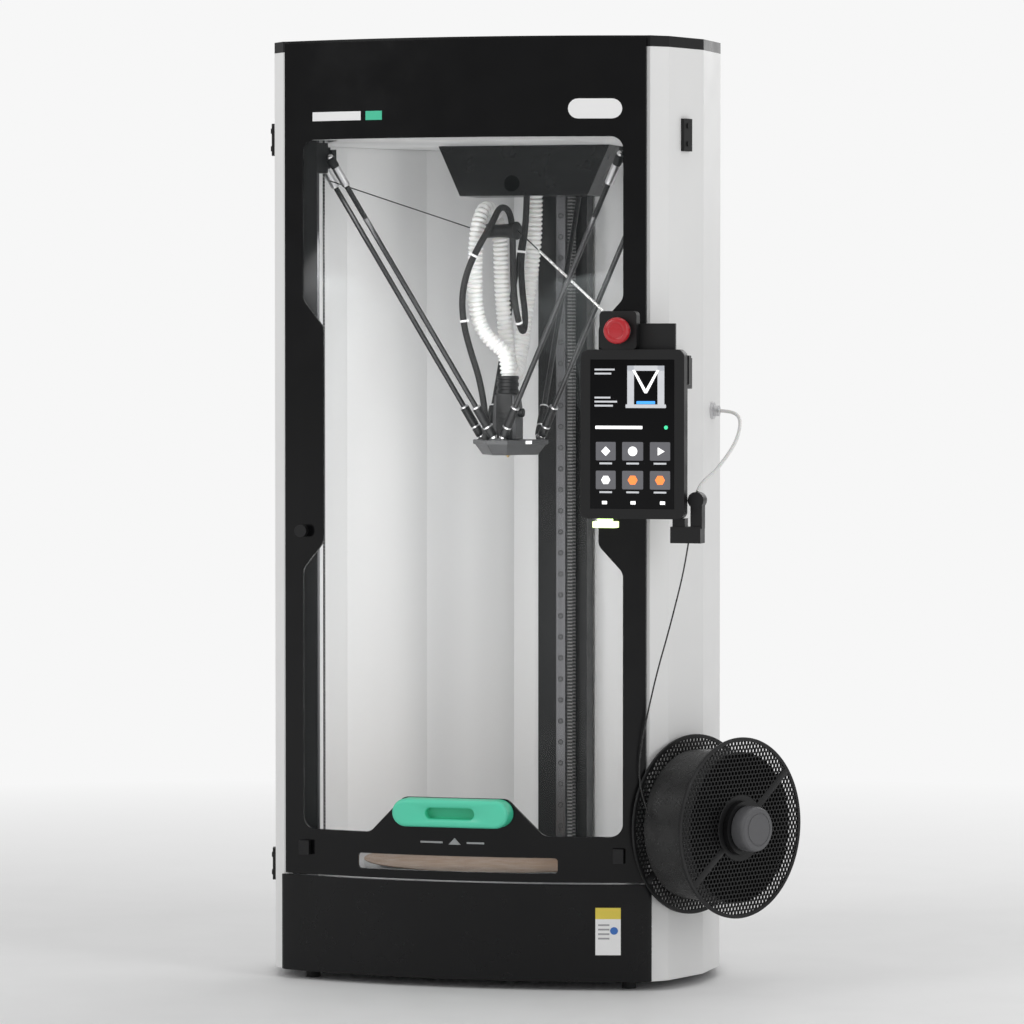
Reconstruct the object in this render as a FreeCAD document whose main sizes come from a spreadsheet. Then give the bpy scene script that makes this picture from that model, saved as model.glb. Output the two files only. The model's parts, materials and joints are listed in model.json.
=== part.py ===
import FreeCAD, Part
import math
import os
import re

Vector = FreeCAD.Vector
UP = Vector(0, 0, 1)
doc = FreeCAD.newDocument("delta_printer")

# Driving dimensions in millimetres. The origin is the centre of the print surface, +Z is up and -Y is the door.
SIZES = {
    # housing, seen from above: half widths and depths of the corners on one side
    "floor_z": -126, "foot_height": 10, "foot_radius": 8,
    "base_top": -8, "base_wall": 3, "bottom_thick": 2, "deck_thick": 4,
    "door_radius": 657, "front_y": -208,
    "corner_x": 212, "chamfer_x": 216.6, "chamfer_y": -168.5, "shoulder_x": 230, "shoulder_y": -150,
    "side_x": 251.4, "side_front_y": -80, "side_rear_y": -3,
    "haunch_x": 229, "haunch_y": 75, "quarter_x": 165, "quarter_y": 190, "rear_x": 75, "rear_y": 275,
    "panel_thick": 1.5, "panel_top": 917, "lid_top": 929,
    "lining_gap": 12, "ceiling_z": 819, "ceiling_thick": 3,
    # door and its windows
    "door_thick": 4, "door_half": 210, "door_bottom": -6, "door_top": 926,
    "window_half": 186, "window_low": 45, "window_high": 818, "window_corner": 14,
    "border_half": 160, "border_low": 337, "border_high": 639, "border_slope": 30,
    "notch_half": 60, "notch_foot": 101, "notch_top": 86,
    "slot_half": 116, "slot_low": 4, "slot_high": 21,
    "handle_long": 134, "handle_tall": 31, "handle_front": -230, "handle_z": 70,
    "recess_long": 56, "recess_tall": 12, "recess_deep": 14,
    "door_knob_x": -186, "door_knob_z": 380, "door_knob_radius": 7,
    # towers
    "rail_radius": 221, "rail_wide": 12, "rail_thick": 8, "column_wide": 60, "column_back": 255,
    "belt_offset": 14, "belt_wide": 6, "belt_thick": 1.4, "pulley_radius": 6.37, "axle_radius": 219,
    "drive_z": -50, "idler_z": 862, "motor_side": 42, "motor_long": 40,
    # carriages, rods and effector
    "ball_line": 214, "ball_pitch": 61, "ball_z": 800, "effector_line": 24, "effector_ball_z": 483.5,
    "ball_radius": 4.4, "socket_radius": 4.9, "rod_radius": 3, "sleeve_radius": 5, "sleeve_long": 40,
    "effector_low": 470, "effector_high": 480, "nozzle_z": 459.5, "skirt_low": 462.5,
    "head_half": 14, "head_top": 533, "collar_radius": 13, "collar_top": 553, "collar_bore": 9.6,
    # bed
    "bed_radius": 165, "sheet_thick": 1, "heater_thick": 6,
    # spool beside the right shoulder
    "spool_x": 282, "spool_y": -137, "spool_z": 56, "flange_radius": 100, "flange_thick": 3,
    "spool_half": 36, "winding_radius": 84, "hub_bore": 26, "arbor_radius": 25, "boss_radius": 30,
    "spool_knob_radius": 25,
    # screen and its neighbours
    "screen_low": 398.5, "screen_high": 583.5, "screen_left": 152, "screen_right": 269,
    "screen_front": -233, "screen_back": -218, "button_x": 196, "button_z": 604, "button_radius": 14.5,
    # hood, hose and sleeve
    "hood_y": 98, "hood_top_half": 103, "hood_low_half": 77, "hood_low": 761,
    "hose_diameter": 18, "sleeve_diameter": 7.4, "filament_diameter": 1.75, "guide_diameter": 4,
}
sheet = doc.addObject("Spreadsheet::Sheet", "Sizes")
for row, (alias, size) in enumerate(SIZES.items(), start=1):
    sheet.set(f"A{row}", alias)
    sheet.set(f"B{row}", str(size))
    sheet.setAlias(f"B{row}", alias)
doc.recompute()

nodes = {}
SPOOL_AXIS = Vector(0.883, -0.469, 0).normalize()
TOWERS = {"rear": 90, "left": 210, "right": 330}


def size(alias):
    """A driving dimension as a number."""
    return float(sheet.get(alias))


def bound(text):
    """An expression in which each driving dimension's name points at the sheet."""
    return re.sub(r"[a-z_]+", lambda word: f"Sizes.{word[0]}" if word[0] in SIZES else word[0], str(text))


def bind(item, **properties):
    for name, text in properties.items():
        item.setExpression(name.replace("_at_", ".Base."), bound(text))


def node(label, item):
    item.Label = label
    nodes[label] = item
    return item


def box(name, low, extent):
    """A block from its low corner and extents, each given as an expression."""
    item = doc.addObject("Part::Box", name)
    bind(item, Length=extent[0], Width=extent[1], Height=extent[2])
    bind(item, Placement_at_x=low[0], Placement_at_y=low[1], Placement_at_z=low[2])
    return item


def cylinder(name, low, radius, height, axis=UP):
    """A round bar that starts at low and runs along axis."""
    item = doc.addObject("Part::Cylinder", name)
    item.Placement.Rotation = FreeCAD.Rotation(UP, axis)
    bind(item, Radius=radius, Height=height)
    bind(item, Placement_at_x=low[0], Placement_at_y=low[1], Placement_at_z=low[2])
    return item


def ball(name, centre, radius):
    item = doc.addObject("Part::Sphere", name)
    bind(item, Radius=radius)
    bind(item, Placement_at_x=centre[0], Placement_at_y=centre[1], Placement_at_z=centre[2])
    return item


def fuse(name, *items):
    item = doc.addObject("Part::MultiFuse", name)
    item.Shapes = list(items)
    return item


def group(name, *items):
    """Separate solids in one object."""
    item = doc.addObject("Part::Compound", name)
    item.Links = list(items)
    return item


def cut(name, base, *tools):
    item = doc.addObject("Part::Cut", name)
    item.Base = base
    item.Tool = tools[0] if len(tools) == 1 else fuse(name + "_tools", *tools)
    return item


def common(name, base, tool):
    item = doc.addObject("Part::Common", name)
    item.Base = base
    item.Tool = tool
    return item


def turned(item, angle):
    """The item turned about the machine's axis."""
    item.Placement = FreeCAD.Placement(Vector(), FreeCAD.Rotation(UP, angle))
    return item


def rounded(points, radius_at, closed=False):
    """Curves of straight runs joined by tangent arcs, and the arcs' radii."""
    corners = [Vector(*point) for point in points]
    count = len(corners)
    arcs = {}
    radii = []
    for index in range(count) if closed else range(1, count - 1):
        before = corners[index - 1] - corners[index]
        after = corners[(index + 1) % count] - corners[index]
        half_turn = (math.pi - before.getAngle(after)) / 2
        radius = radius_at(before.Length, after.Length, half_turn)
        reach = radius * math.tan(half_turn)
        before.normalize()
        after.normalize()
        inward = (before + after).normalize()
        middle = corners[index] + inward * (radius / math.cos(half_turn) - radius)
        arcs[index] = (corners[index] + before * reach, middle, corners[index] + after * reach)
        radii.append(radius)
    curves = []
    place = arcs[count - 1][2] if closed else corners[0]
    for index in range(count):
        if index in arcs:
            curves.append(Part.LineSegment(place, arcs[index][0]))
            curves.append(Part.Arc(*arcs[index]))
            place = arcs[index][2]
        elif index:
            curves.append(Part.LineSegment(place, corners[index]))
    return curves, radii


def sketch(name, curves, placement=None):
    item = doc.addObject("Sketcher::SketchObject", name)
    item.addGeometry(curves, False)
    if placement:
        item.Placement = placement
    return item


def extrude(name, profile, length, z="0"):
    """The profile pushed along its own normal by length, an expression."""
    item = doc.addObject("Part::Extrusion", name)
    item.Base = profile
    item.DirMode = "Normal"
    item.Solid = True
    bind(item, LengthFwd=length, Placement_at_z=z)
    return item


def inset(name, profile, amount):
    item = doc.addObject("Part::Offset2D", name)
    item.Source = profile
    item.Join = "Intersection"
    bind(item, Value=amount)
    return item


def upright(y):
    """The placement of a sketch whose X and Y are the object's X and Z, facing -Y."""
    return FreeCAD.Placement(Vector(0, y, 0), FreeCAD.Rotation(Vector(1, 0, 0), 90))


def front_curve(radius, half_width):
    """The front's arc in plan, concentric with the door, from left to right."""
    centre_y = size("front_y") + size("door_radius")
    edge_y = centre_y - math.sqrt(radius ** 2 - half_width ** 2)
    left = Vector(-half_width, edge_y, 0)
    right = Vector(half_width, edge_y, 0)
    return Part.Arc(left, Vector(0, centre_y - radius, 0), right), left, right


def plan(name, radius, half_width, corners):
    """A closed outline in plan: the front's arc, then the corners of the right side mirrored to the left."""
    arc, left, right = front_curve(radius, half_width)
    path = [right]
    path += [Vector(x, y, 0) for x, y in corners]
    path += [Vector(-x, y, 0) for x, y in reversed(corners)]
    path.append(left)
    lines = [Part.LineSegment(a, b) for a, b in zip(path, path[1:])]
    return sketch(name, [arc] + lines)


# ---------------------------------------------------------------- housing
side_corners = [
    (size("shoulder_x"), size("shoulder_y")),
    (size("side_x"), size("side_front_y")),
    (size("side_x"), size("side_rear_y")),
    (size("haunch_x"), size("haunch_y")),
    (size("quarter_x"), size("quarter_y")),
    (size("rear_x"), size("rear_y")),
]
door_gap = 1.5
base_plan = plan("base_plan", size("door_radius"), size("corner_x"),
                 [(size("chamfer_x"), size("chamfer_y"))] + side_corners)
house_plan = plan("house_plan", size("door_radius") - size("door_thick") - door_gap, 206,
                  [(213.5, size("chamfer_y"))] + side_corners)
wall_low = "floor_z + foot_height"
wall_tall = "panel_top - floor_z - foot_height"
house_solid = extrude("house_solid", house_plan, wall_tall, wall_low)
house_inside = extrude("house_inside", inset("house_inset", house_plan, "-panel_thick"), wall_tall, wall_low)
house_ring = cut("house_ring", house_solid, house_inside)

rear_edge = 195
lip_y = size("chamfer_y")
far = 300  # beyond every wall
for side, low_x in (("left", -far), ("right", 0)):
    keep = box(f"keep_{side}", (low_x, lip_y, wall_low), (far, rear_edge - lip_y, wall_tall))
    node(f"side_panel_{side}", common(f"side_panel_{side}", house_ring, keep))
keep_rear = box("keep_rear", (-far, rear_edge, wall_low), (2 * far, far, wall_tall))
inlet_x, inlet_z = -45, -66
fan_x, fan_z, fan_side, fan_bore = 30, -62, 60, 27
inlet_cutter = box("inlet_cutter", (inlet_x - 25, "rear_y - 10", inlet_z - 30), (50, 30, 60))
fan_cutter = cylinder("fan_cutter", (fan_x, "rear_y - 10", fan_z), fan_bore, 30, Vector(0, 1, 0))
node("rear_panel", cut("rear_panel", common("rear_sheet", house_ring, keep_rear), inlet_cutter, fan_cutter))

lid_skirt = 6
lid_cap = extrude("lid_cap", house_plan, "lid_top - panel_top", "panel_top")
lid_rib_outer = extrude("lid_rib_outer", inset("lid_inset", house_plan, "-panel_thick - 1"),
                        lid_skirt, f"panel_top - {lid_skirt}")
lid_rib_inner = extrude("lid_rib_inner", inset("lid_inset_inner", house_plan, "-panel_thick - 3"),
                        lid_skirt, f"panel_top - {lid_skirt}")
post_half = [(208, -166.5), (212, -166.5), (227, -149.5), (222, -146), (208, -163)]


def post(side, sign):
    """One front post inside the side panel's folded edge."""
    corners = [Vector(sign * x, y, 0) for x, y in post_half]
    lines = [Part.LineSegment(a, b) for a, b in zip(corners, corners[1:] + corners[:1])]
    return extrude(f"post_{side}", sketch(f"post_plan_{side}", lines), "panel_top - base_top", "base_top")


posts = [post("left", -1), post("right", 1)]
node("front_posts", cut("front_posts", group("post_pair", *posts), house_ring))
lid_rib = cut("lid_rib", lid_rib_outer, lid_rib_inner, *posts)
node("top_lid", fuse("top_lid", lid_cap, lid_rib))

# ---------------------------------------------------------------- base
base_tall = "base_top - floor_z - foot_height"
base_solid = extrude("base_solid", base_plan, base_tall, wall_low)
base_hollow = extrude("base_hollow", inset("base_inset", base_plan, "-base_wall"), base_tall, wall_low)
front_keep = box("front_keep", (-far, -far, wall_low), (2 * far, far + lip_y - 0.2, base_tall))
node("base_cover", common("base_cover", cut("base_ring", base_solid, base_hollow), front_keep))
node("bottom_plate", extrude("bottom_plate", inset("bottom_inset", house_plan, "-panel_thick - 0.3"),
                             "bottom_thick", wall_low))
deck_solid = extrude("deck_solid", inset("deck_inset", house_plan, "-panel_thick - 0.3"),
                     "deck_thick", "base_top - deck_thick")
foot_places = [(-185, -150), (185, -150), (-125, 190), (125, 190)]
feet = [cylinder(f"foot_{index}", (x, y, "floor_z"), "foot_radius", "foot_height")
        for index, (x, y) in enumerate(foot_places)]
node("feet", group("feet", *feet))

# ---------------------------------------------------------------- towers
belt_slots = []
column_holes = []
belts = []
motors = []
columns = []
rails = []
idlers = []
for tower, angle in TOWERS.items():
    slot = box(f"belt_slot_{tower}", ("axle_radius - 12", "-belt_offset - 6", -30), (22, 12, 40))
    belt_slots.append(turned(group(f"slot_{tower}", slot), angle))
    hole = box(f"column_hole_{tower}", (203, "-column_wide / 2 - 1", "base_top"), (70, "column_wide + 2", 930))
    column_holes.append(turned(group(f"hole_{tower}", hole), angle))

    column = box(f"column_block_{tower}", ("rail_radius + rail_thick", "-column_wide / 2", "base_top"),
                 ("column_back - rail_radius - rail_thick", "column_wide", "panel_top - base_top - 15"))
    column_core = box(f"column_core_{tower}", ("rail_radius + rail_thick + 3", "-column_wide / 2 + 3", "base_top"),
                      ("column_back - rail_radius - rail_thick - 6", "column_wide - 6", "panel_top - base_top"))
    columns.append(turned(cut(f"column_{tower}", column, column_core), angle))
    pin = cylinder(f"pin_{tower}", ("axle_radius", -24, "idler_z"), 2.4, 27, Vector(0, 1, 0))
    pin_block = box(f"pin_block_{tower}", ("axle_radius - 8", 3, "idler_z - 10"), (18, 12, 20))
    columns.append(turned(fuse(f"idler_holder_{tower}", pin, pin_block), angle))

    rail = box(f"rail_bar_{tower}", ("rail_radius", "-rail_wide / 2", 4), ("rail_thick", "rail_wide", 836))
    rails.append(turned(group(f"rail_{tower}", rail), angle))

    for end, height in (("drive", "drive_z"), ("idler", "idler_z")):
        wheel_y = -size("belt_offset") - size("belt_wide") / 2 - 1
        lip_starts = [wheel_y - 0.8, wheel_y + size("belt_wide") + 2]
        wheel = cylinder(f"{end}_wheel_{tower}", ("axle_radius", wheel_y, height), "pulley_radius - 0.2",
                         "belt_wide + 2", Vector(0, 1, 0))
        lips = [cylinder(f"{end}_lip_{tower}_{index}", ("axle_radius", start, height), "pulley_radius + 2", 0.8,
                         Vector(0, 1, 0)) for index, start in enumerate(lip_starts)]
        bore = cylinder(f"{end}_bore_{tower}", ("axle_radius", -30, height), 2.5, 30, Vector(0, 1, 0))
        pulley = cut(f"{end}_pulley_{tower}", fuse(f"{end}_round_{tower}", wheel, *lips), bore)
        if end == "drive":
            node(f"drive_pulley_{tower}", turned(pulley, angle))
        else:
            idlers.append(turned(pulley, angle))

    belt_y = "-belt_offset - belt_wide / 2"
    loops = []
    for layer, radius in (("outer", "pulley_radius + belt_thick"), ("inner", "pulley_radius")):
        ends = [cylinder(f"belt_{layer}_{end}_{tower}", ("axle_radius", belt_y, height), radius, "belt_wide",
                         Vector(0, 1, 0)) for end, height in (("low", "drive_z"), ("high", "idler_z"))]
        span = box(f"belt_{layer}_span_{tower}", (f"axle_radius - ({radius})", belt_y, "drive_z"),
                   (f"2 * ({radius})", "belt_wide", "idler_z - drive_z"))
        loops.append(fuse(f"belt_{layer}_{tower}", span, *ends))
    belts.append(turned(cut(f"belt_{tower}", *loops), angle))

    motor_case = box(f"motor_case_{tower}", ("axle_radius - motor_side / 2", 2, "drive_z - motor_side / 2"),
                     ("motor_side", "motor_long", "motor_side"))
    shaft = cylinder(f"motor_shaft_{tower}", ("axle_radius", -24, "drive_z"), 2.4, 27, Vector(0, 1, 0))
    motors.append(turned(fuse(f"motor_{tower}", motor_case, shaft), angle))
node("drive_belts", group("drive_belts", *belts))
node("drive_motors", group("drive_motors", *motors))
node("columns", group("columns", *columns))
node("linear_rails", group("linear_rails", *rails))
node("idler_pulleys", group("idler_pulleys", *idlers))
node("deck_plate", cut("deck_plate", deck_solid, *belt_slots))

ceiling_solid = extrude("ceiling_solid", inset("ceiling_inset", house_plan, "-lining_gap - 3"),
                        "ceiling_thick", "ceiling_z")
node("ceiling_plate", cut("ceiling_plate", ceiling_solid, *column_holes))

lining_outer = extrude("lining_outer", inset("lining_inset", house_plan, "-lining_gap"),
                       "ceiling_z - base_top", "base_top")
lining_inner = extrude("lining_inner", inset("lining_inset_inner", house_plan, "-lining_gap - 1.2"),
                       "ceiling_z - base_top", "base_top")
front_clear = box("front_clear", (-far, -far, "base_top"), (2 * far, far - 110, "panel_top - base_top"))
node("inner_walls", cut("inner_walls", lining_outer, lining_inner, front_clear, *column_holes))

# ---------------------------------------------------------------- bed
heater = cylinder("heater_disc", (0, 0, "base_top + 1"), "bed_radius", "heater_thick")
node("build_plate", cylinder("build_plate", (0, 0, "-sheet_thick"), "bed_radius", "sheet_thick"))
stands = [cylinder(f"stand_{index}", (130 * math.cos(index * 2.0944), 130 * math.sin(index * 2.0944), "base_top"),
                   6, 1) for index in range(3)]
node("bed_heater", fuse("bed_heater", heater, *stands))

# ---------------------------------------------------------------- door
def sector(name, outer, inner, half_width, length, z):
    """A curved sheet in plan between two radii about the door's centre."""
    outer_arc, outer_left, outer_right = front_curve(outer, half_width)
    inner_arc, inner_left, inner_right = front_curve(inner, half_width)
    ends = [Part.LineSegment(outer_right, inner_right), Part.LineSegment(inner_left, outer_left)]
    return extrude(name, sketch(name + "_plan", [outer_arc, inner_arc] + ends), length, z)


door_sheet = sector("door_sheet", size("door_radius"), size("door_radius") - size("door_thick"),
                    size("door_half"), "door_top - door_bottom", "door_bottom")
right_side = [
    (size("notch_half"), size("notch_top")),
    (size("notch_foot"), size("window_low")),
    (size("window_half"), size("window_low")),
    (size("window_half"), size("border_low")),
    (size("border_half"), size("border_low") + size("border_slope")),
    (size("border_half"), size("border_high") - size("border_slope")),
    (size("window_half"), size("border_high")),
    (size("window_half"), size("window_high")),
]
window_points = [(x, z, 0) for x, z in right_side] + [(-x, z, 0) for x, z in reversed(right_side)]
window_curves = rounded(window_points, lambda before, after, turn: size("window_corner"), closed=True)[0]
slot_half, slot_low, slot_high = size("slot_half"), size("slot_low"), size("slot_high")
slot_points = [(-slot_half, slot_low, 0), (slot_half, slot_low, 0),
               (slot_half, slot_high, 0), (-slot_half, slot_high, 0)]
slot_curves = rounded(slot_points, lambda before, after, turn: 4, closed=True)[0]
cutter_front = -150
main_cutter = extrude("main_cutter", sketch("window_outline", window_curves, upright(cutter_front)), 80)
slot_cutter = extrude("slot_cutter", sketch("slot_outline", slot_curves, upright(cutter_front)), 80)
node("door_frame", cut("door_frame", door_sheet, main_cutter, slot_cutter))
panes = fuse("pane_cutter", main_cutter, slot_cutter)
node("door_window", common("door_window", door_sheet, panes))

door_outer = cylinder("door_outer", (0, "front_y + door_radius", -200), "door_radius", 1300)
grip_half = "(handle_long - handle_tall) / 2"
grip_ends = [cylinder(f"grip_end_{index}", (f"{sign} * {grip_half}", -196, "handle_z"), "handle_tall / 2",
                      "-196 - handle_front", Vector(0, -1, 0)) for index, sign in enumerate((-1, 1))]
grip_bar = box("grip_bar", (f"-{grip_half}", "handle_front", "handle_z - handle_tall / 2"),
               (f"2 * {grip_half}", "-196 - handle_front", "handle_tall"))
recess = box("grip_recess", ("-recess_long / 2", "handle_front - 1", "handle_z - recess_tall / 2"),
             ("recess_long", "recess_deep + 1", "recess_tall"))
node("door_handle", cut("door_handle", fuse("grip", grip_bar, *grip_ends), recess, door_outer))
knob_bar = cylinder("knob_bar", ("door_knob_x", -170, "door_knob_z"), "door_knob_radius", 22, Vector(0, -1, 0))
catches = [box(f"catch_{index}", (f"{sign} * 183 - 6", -190, 16), (12, 20, 16)) for index, sign in enumerate((-1, 1))]
node("door_catches", cut("door_catches", group("catch_set", knob_bar, *catches), door_outer))

# ---------------------------------------------------------------- carriages, rods, effector
half_pitch = size("ball_pitch") / 2
for tower, angle in TOWERS.items():
    block = box(f"block_{tower}", (212.5, -13.5, "ball_z - 17"), (14, 27, 34))
    channel = box(f"channel_{tower}", ("rail_radius - 0.5", "-rail_wide / 2 - 0.5", "ball_z - 20"),
                  (12, "rail_wide + 1", 40))
    slit = box(f"belt_slit_{tower}", (210, "-belt_offset - belt_wide / 2 - 0.8", "ball_z - 20"),
               (20, "belt_wide + 1.6", 40))
    bar = box(f"bar_{tower}", (205, -24, "ball_z - 9"), (5, 48, 18))
    bridge = box(f"bridge_{tower}", (209, -10, "ball_z - 12"), (5, 20, 24))
    studs = [cylinder(f"stud_{tower}_{index}", (207.5, f"{start}", "ball_z"), 2, 8.5, Vector(0, sign, 0))
             for index, (start, sign) in enumerate(((24, 1), (-24, -1)))]
    links = [box(f"ear_{tower}_{index}", (207, y - 2, "ball_z - 4"), ("ball_line - 207", 4, 8))
             for index, y in enumerate((-half_pitch + 9.5, half_pitch - 9.5))]
    balls = [ball(f"ball_{tower}_{index}", ("ball_line", f"{sign} * ball_pitch / 2", "ball_z"), "ball_radius")
             for index, sign in enumerate((-1, 1))]
    pins = [cylinder(f"ball_pin_{tower}_{index}", ("ball_line", f"{sign} * (ball_pitch / 2 - 8)", "ball_z"), 1.8, 8,
                     Vector(0, sign, 0)) for index, sign in enumerate((-1, 1))]
    body = cut(f"carriage_cut_{tower}", fuse(f"carriage_body_{tower}", block, bridge, bar, *links), channel, slit)
    carriage = fuse(f"carriage_{tower}", body, *balls, *pins)
    node(f"carriage_{tower}", turned(carriage, angle))

    rods = []
    for index, sign in enumerate((-1, 1)):
        top = Vector(size("ball_line"), sign * half_pitch, size("ball_z"))
        foot = Vector(size("effector_line"), sign * half_pitch, size("effector_ball_z"))
        run = foot - top
        along = run * (1 / run.Length)
        shaft = cylinder(f"rod_{tower}_{index}", tuple(top + along * 8), "rod_radius", run.Length - 16, along)
        collars = [cylinder(f"sleeve_{tower}_{index}_{end}", tuple(start), "sleeve_radius", "sleeve_long", way)
                   for end, start, way in (("top", top + along * 1, along), ("foot", foot - along * 1, along * -1))]
        sockets = [ball(f"socket_{tower}_{index}_{end}", tuple(place), "socket_radius")
                   for end, place in (("top", top), ("foot", foot))]
        sockets.append(cylinder(f"pin_room_{tower}_{index}", (top.x, sign * (half_pitch - 9), top.z), 2.2, 9,
                                Vector(0, sign, 0)))
        rods.append(cut(f"arm_{tower}_{index}", fuse(f"arm_solid_{tower}_{index}", shaft, *collars), *sockets))
    node(f"rods_{tower}", turned(group(f"rods_{tower}", *rods), angle))



def three_ended(name, reach, half_end, length, z):
    """A plate in plan with a flat end at that reach towards each gap between the towers."""
    corners = []
    for heading in (-90, 30, 150):
        out = Vector(math.cos(math.radians(heading)), math.sin(math.radians(heading)), 0)
        across = Vector(-out.y, out.x, 0)
        corners += [tuple(out * reach + across * shift) for shift in (-half_end, half_end)]
    curves = rounded(corners, lambda before, after, turn: 5, closed=True)[0]
    return extrude(name, sketch(name + "_plan", curves), length, z)


plate = three_ended("effector_plate", 45, 13, "effector_high - effector_low", "effector_low")
skirt = three_ended("effector_skirt", 36, 10, "effector_low - skirt_low", "skirt_low")
pocket = box("block_pocket", (-11.5, -9.5, "skirt_low - 1"), (23, 19, "effector_low - skirt_low + 1"))
joint_balls = []
for tower, angle in TOWERS.items():
    for index, sign in enumerate((-1, 1)):
        seat = [ball(f"seat_ball_{tower}_{index}", ("effector_line", f"{sign} * ball_pitch / 2",
                                                    "effector_ball_z"), "ball_radius"),
                cylinder(f"seat_{tower}_{index}", ("effector_line", f"{sign} * ball_pitch / 2", "effector_low + 2"),
                         2.2, "effector_ball_z - effector_low - 2")]
        joint_balls.append(turned(fuse(f"seat_pair_{tower}_{index}", *seat), angle))
node("effector", fuse("effector", plate, cut("skirt_shell", skirt, pocket), *joint_balls))
shell = box("head_shell", ("-head_half", "-head_half - 2", "effector_high"),
            ("2 * head_half", "2 * head_half + 4", "head_top - effector_high"))
collar = cylinder("head_collar", (0, 0, "head_top"), "collar_radius", "collar_top - head_top")
clamp_knob = cylinder("clamp_knob", ("head_half", -4, 511), 5, 7, Vector(1, 0, 0))
node("head_housing", fuse("head_housing", shell, collar, clamp_knob))
heat_block = box("heat_block", (-11, -9, "nozzle_z + 4"), (22, 18, "effector_low - nozzle_z - 4"))
tip = doc.addObject("Part::Cone", "nozzle_tip")
bind(tip, Radius1=0.6, Radius2=3.5, Height=4, Placement_at_z="nozzle_z")
node("nozzle", fuse("nozzle", heat_block, tip))

# ---------------------------------------------------------------- hood, saddle and tethers
hood_depth = 70
hood_points = [(-size("hood_top_half"), size("ceiling_z"), 0), (-size("hood_low_half"), size("hood_low"), 0),
               (size("hood_low_half"), size("hood_low"), 0), (size("hood_top_half"), size("ceiling_z"), 0)]
hood_lines = [Part.LineSegment(Vector(*a), Vector(*b))
              for a, b in zip(hood_points, hood_points[1:] + hood_points[:1])]
hood_block = extrude("hood_block", sketch("hood_outline", hood_lines, upright(size("hood_y") + hood_depth / 2)),
                     hood_depth)
hood_core = box("hood_core", (-66, "hood_y - 32", "hood_low + 3"), (132, 64, 100))
arch = cylinder("hood_arch", (-14, "hood_y - 60", "hood_low + 14"), 9, 60, Vector(0, 1, 0))
node("hood", cut("hood", hood_block, hood_core, arch))

saddle_at = Vector(-12, 5, 719)
saddle_axis = Vector(0.95, -0.31, 0).normalize()
saddle_half = 26
drum_low = saddle_at - saddle_axis * saddle_half
drum = cylinder("saddle_drum", tuple(drum_low), 10.5, 2 * saddle_half, saddle_axis)
node("hose_saddle", group("hose_saddle", drum))


def tether(name, start, end, stages):
    """A straight tether in stages of share of its length and radius."""
    run = end - start
    pieces = []
    done = 0
    for index, (share, radius) in enumerate(stages):
        low = start + run * done
        pieces.append(cylinder(f"{name}_{index}", tuple(low), radius, run.Length * share, run))
        done += share
    return group(name, *pieces)


left_tether = tether("left_tether", saddle_at - saddle_axis * saddle_half, Vector(-184, -92, 775), [(1, 0.8)])
right_tether = tether("right_tether", saddle_at + saddle_axis * saddle_half, Vector(176, -92, 593),
                      [(0.18, 0.8), (0.64, 1.6), (0.18, 0.8)])
node("saddle_tethers", group("saddle_tethers", left_tether, right_tether))

# ---------------------------------------------------------------- screen, stop button, light, sensor
def soft_block(name, low, extent, radius, edges):
    """A block whose edges along one direction are rounded."""
    block = box(name + "_block", low, extent)
    doc.recompute()
    chosen = [number + 1 for number, edge in enumerate(block.Shape.Edges) if edges(edge)]
    item = doc.addObject("Part::Fillet", name)
    item.Base = block
    item.Edges = [(number, radius, radius) for number in chosen]
    return item


def along_y(edge):
    return abs(edge.tangentAt(edge.FirstParameter).y) > 0.99


glass_inset = 11
glass_x, glass_z = f"screen_left + {glass_inset}", f"screen_low + {glass_inset}"
glass_wide = f"screen_right - screen_left - {2 * glass_inset}"
glass_tall = f"screen_high - screen_low - {2 * glass_inset}"
screen_body = soft_block("screen_body", ("screen_left", "screen_front", "screen_low"),
                         ("screen_right - screen_left", "screen_back - screen_front", "screen_high - screen_low"),
                         8, along_y)
glass_pocket = box("glass_pocket", (glass_x, "screen_front - 1", glass_z), (glass_wide, 3, glass_tall))
node("screen_case", cut("screen_case", screen_body, glass_pocket))
node("screen_glass", box("screen_glass", (glass_x, "screen_front + 0.4", glass_z), (glass_wide, 1.6, glass_tall)))
house_block = extrude("house_block", house_plan, "panel_top - base_top", "base_top")
bracket_plate = box("bracket_plate", (205, "screen_back", 520), (50, 5, 92))
bracket_arm = box("bracket_arm", (238, -214, 540), (12, 90, 34))
bracket_ear = box("bracket_ear", (250, -216, 545), (20, 10, 32))
node("screen_bracket", cut("screen_bracket", fuse("bracket_solid", bracket_plate, bracket_arm, bracket_ear),
                           house_block))
stop_box = soft_block("stop_box_round", (173, -232, "screen_high"), (42, 14, 42), 5, along_y)
stem_bore = cylinder("stop_bore", ("button_x", -221, "button_z"), 8.4, 20, Vector(0, -1, 0))
node("stop_box", cut("stop_box", stop_box, stem_bore))
stem = cylinder("stop_stem", ("button_x", -232.3, "button_z"), 8, 6, Vector(0, -1, 0))
cap = cylinder("stop_cap", ("button_x", -238, "button_z"), "button_radius", 12, Vector(0, -1, 0))
node("stop_button", fuse("stop_button", stem, cap))
light_lens = box("light_lens", (165, -232, "screen_low - 10"), (27, 13, 7))
light_neck = box("light_neck", (170, -230, "screen_low - 3"), (16, 9, 3))
node("status_light", fuse("status_light", light_lens, light_neck))
sensor_case = box("sensor_case", (250, -220, 372), (34, 20, 18))
sensor_arm = box("sensor_arm", (272, -217, 388), (13, 14, 32))
sensor_head = cylinder("sensor_head", (278, -218, 419), 9, 16, Vector(0, 1, 0))
sensor_foot = box("sensor_foot", (252, -218, 389), (14, 14, 10))
node("filament_sensor", fuse("filament_sensor", sensor_case, sensor_arm, sensor_head, sensor_foot))
port_flange = cylinder("port_flange", ("side_x", -42, 514.5), 9.5, 3, Vector(1, 0, 0))
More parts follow.
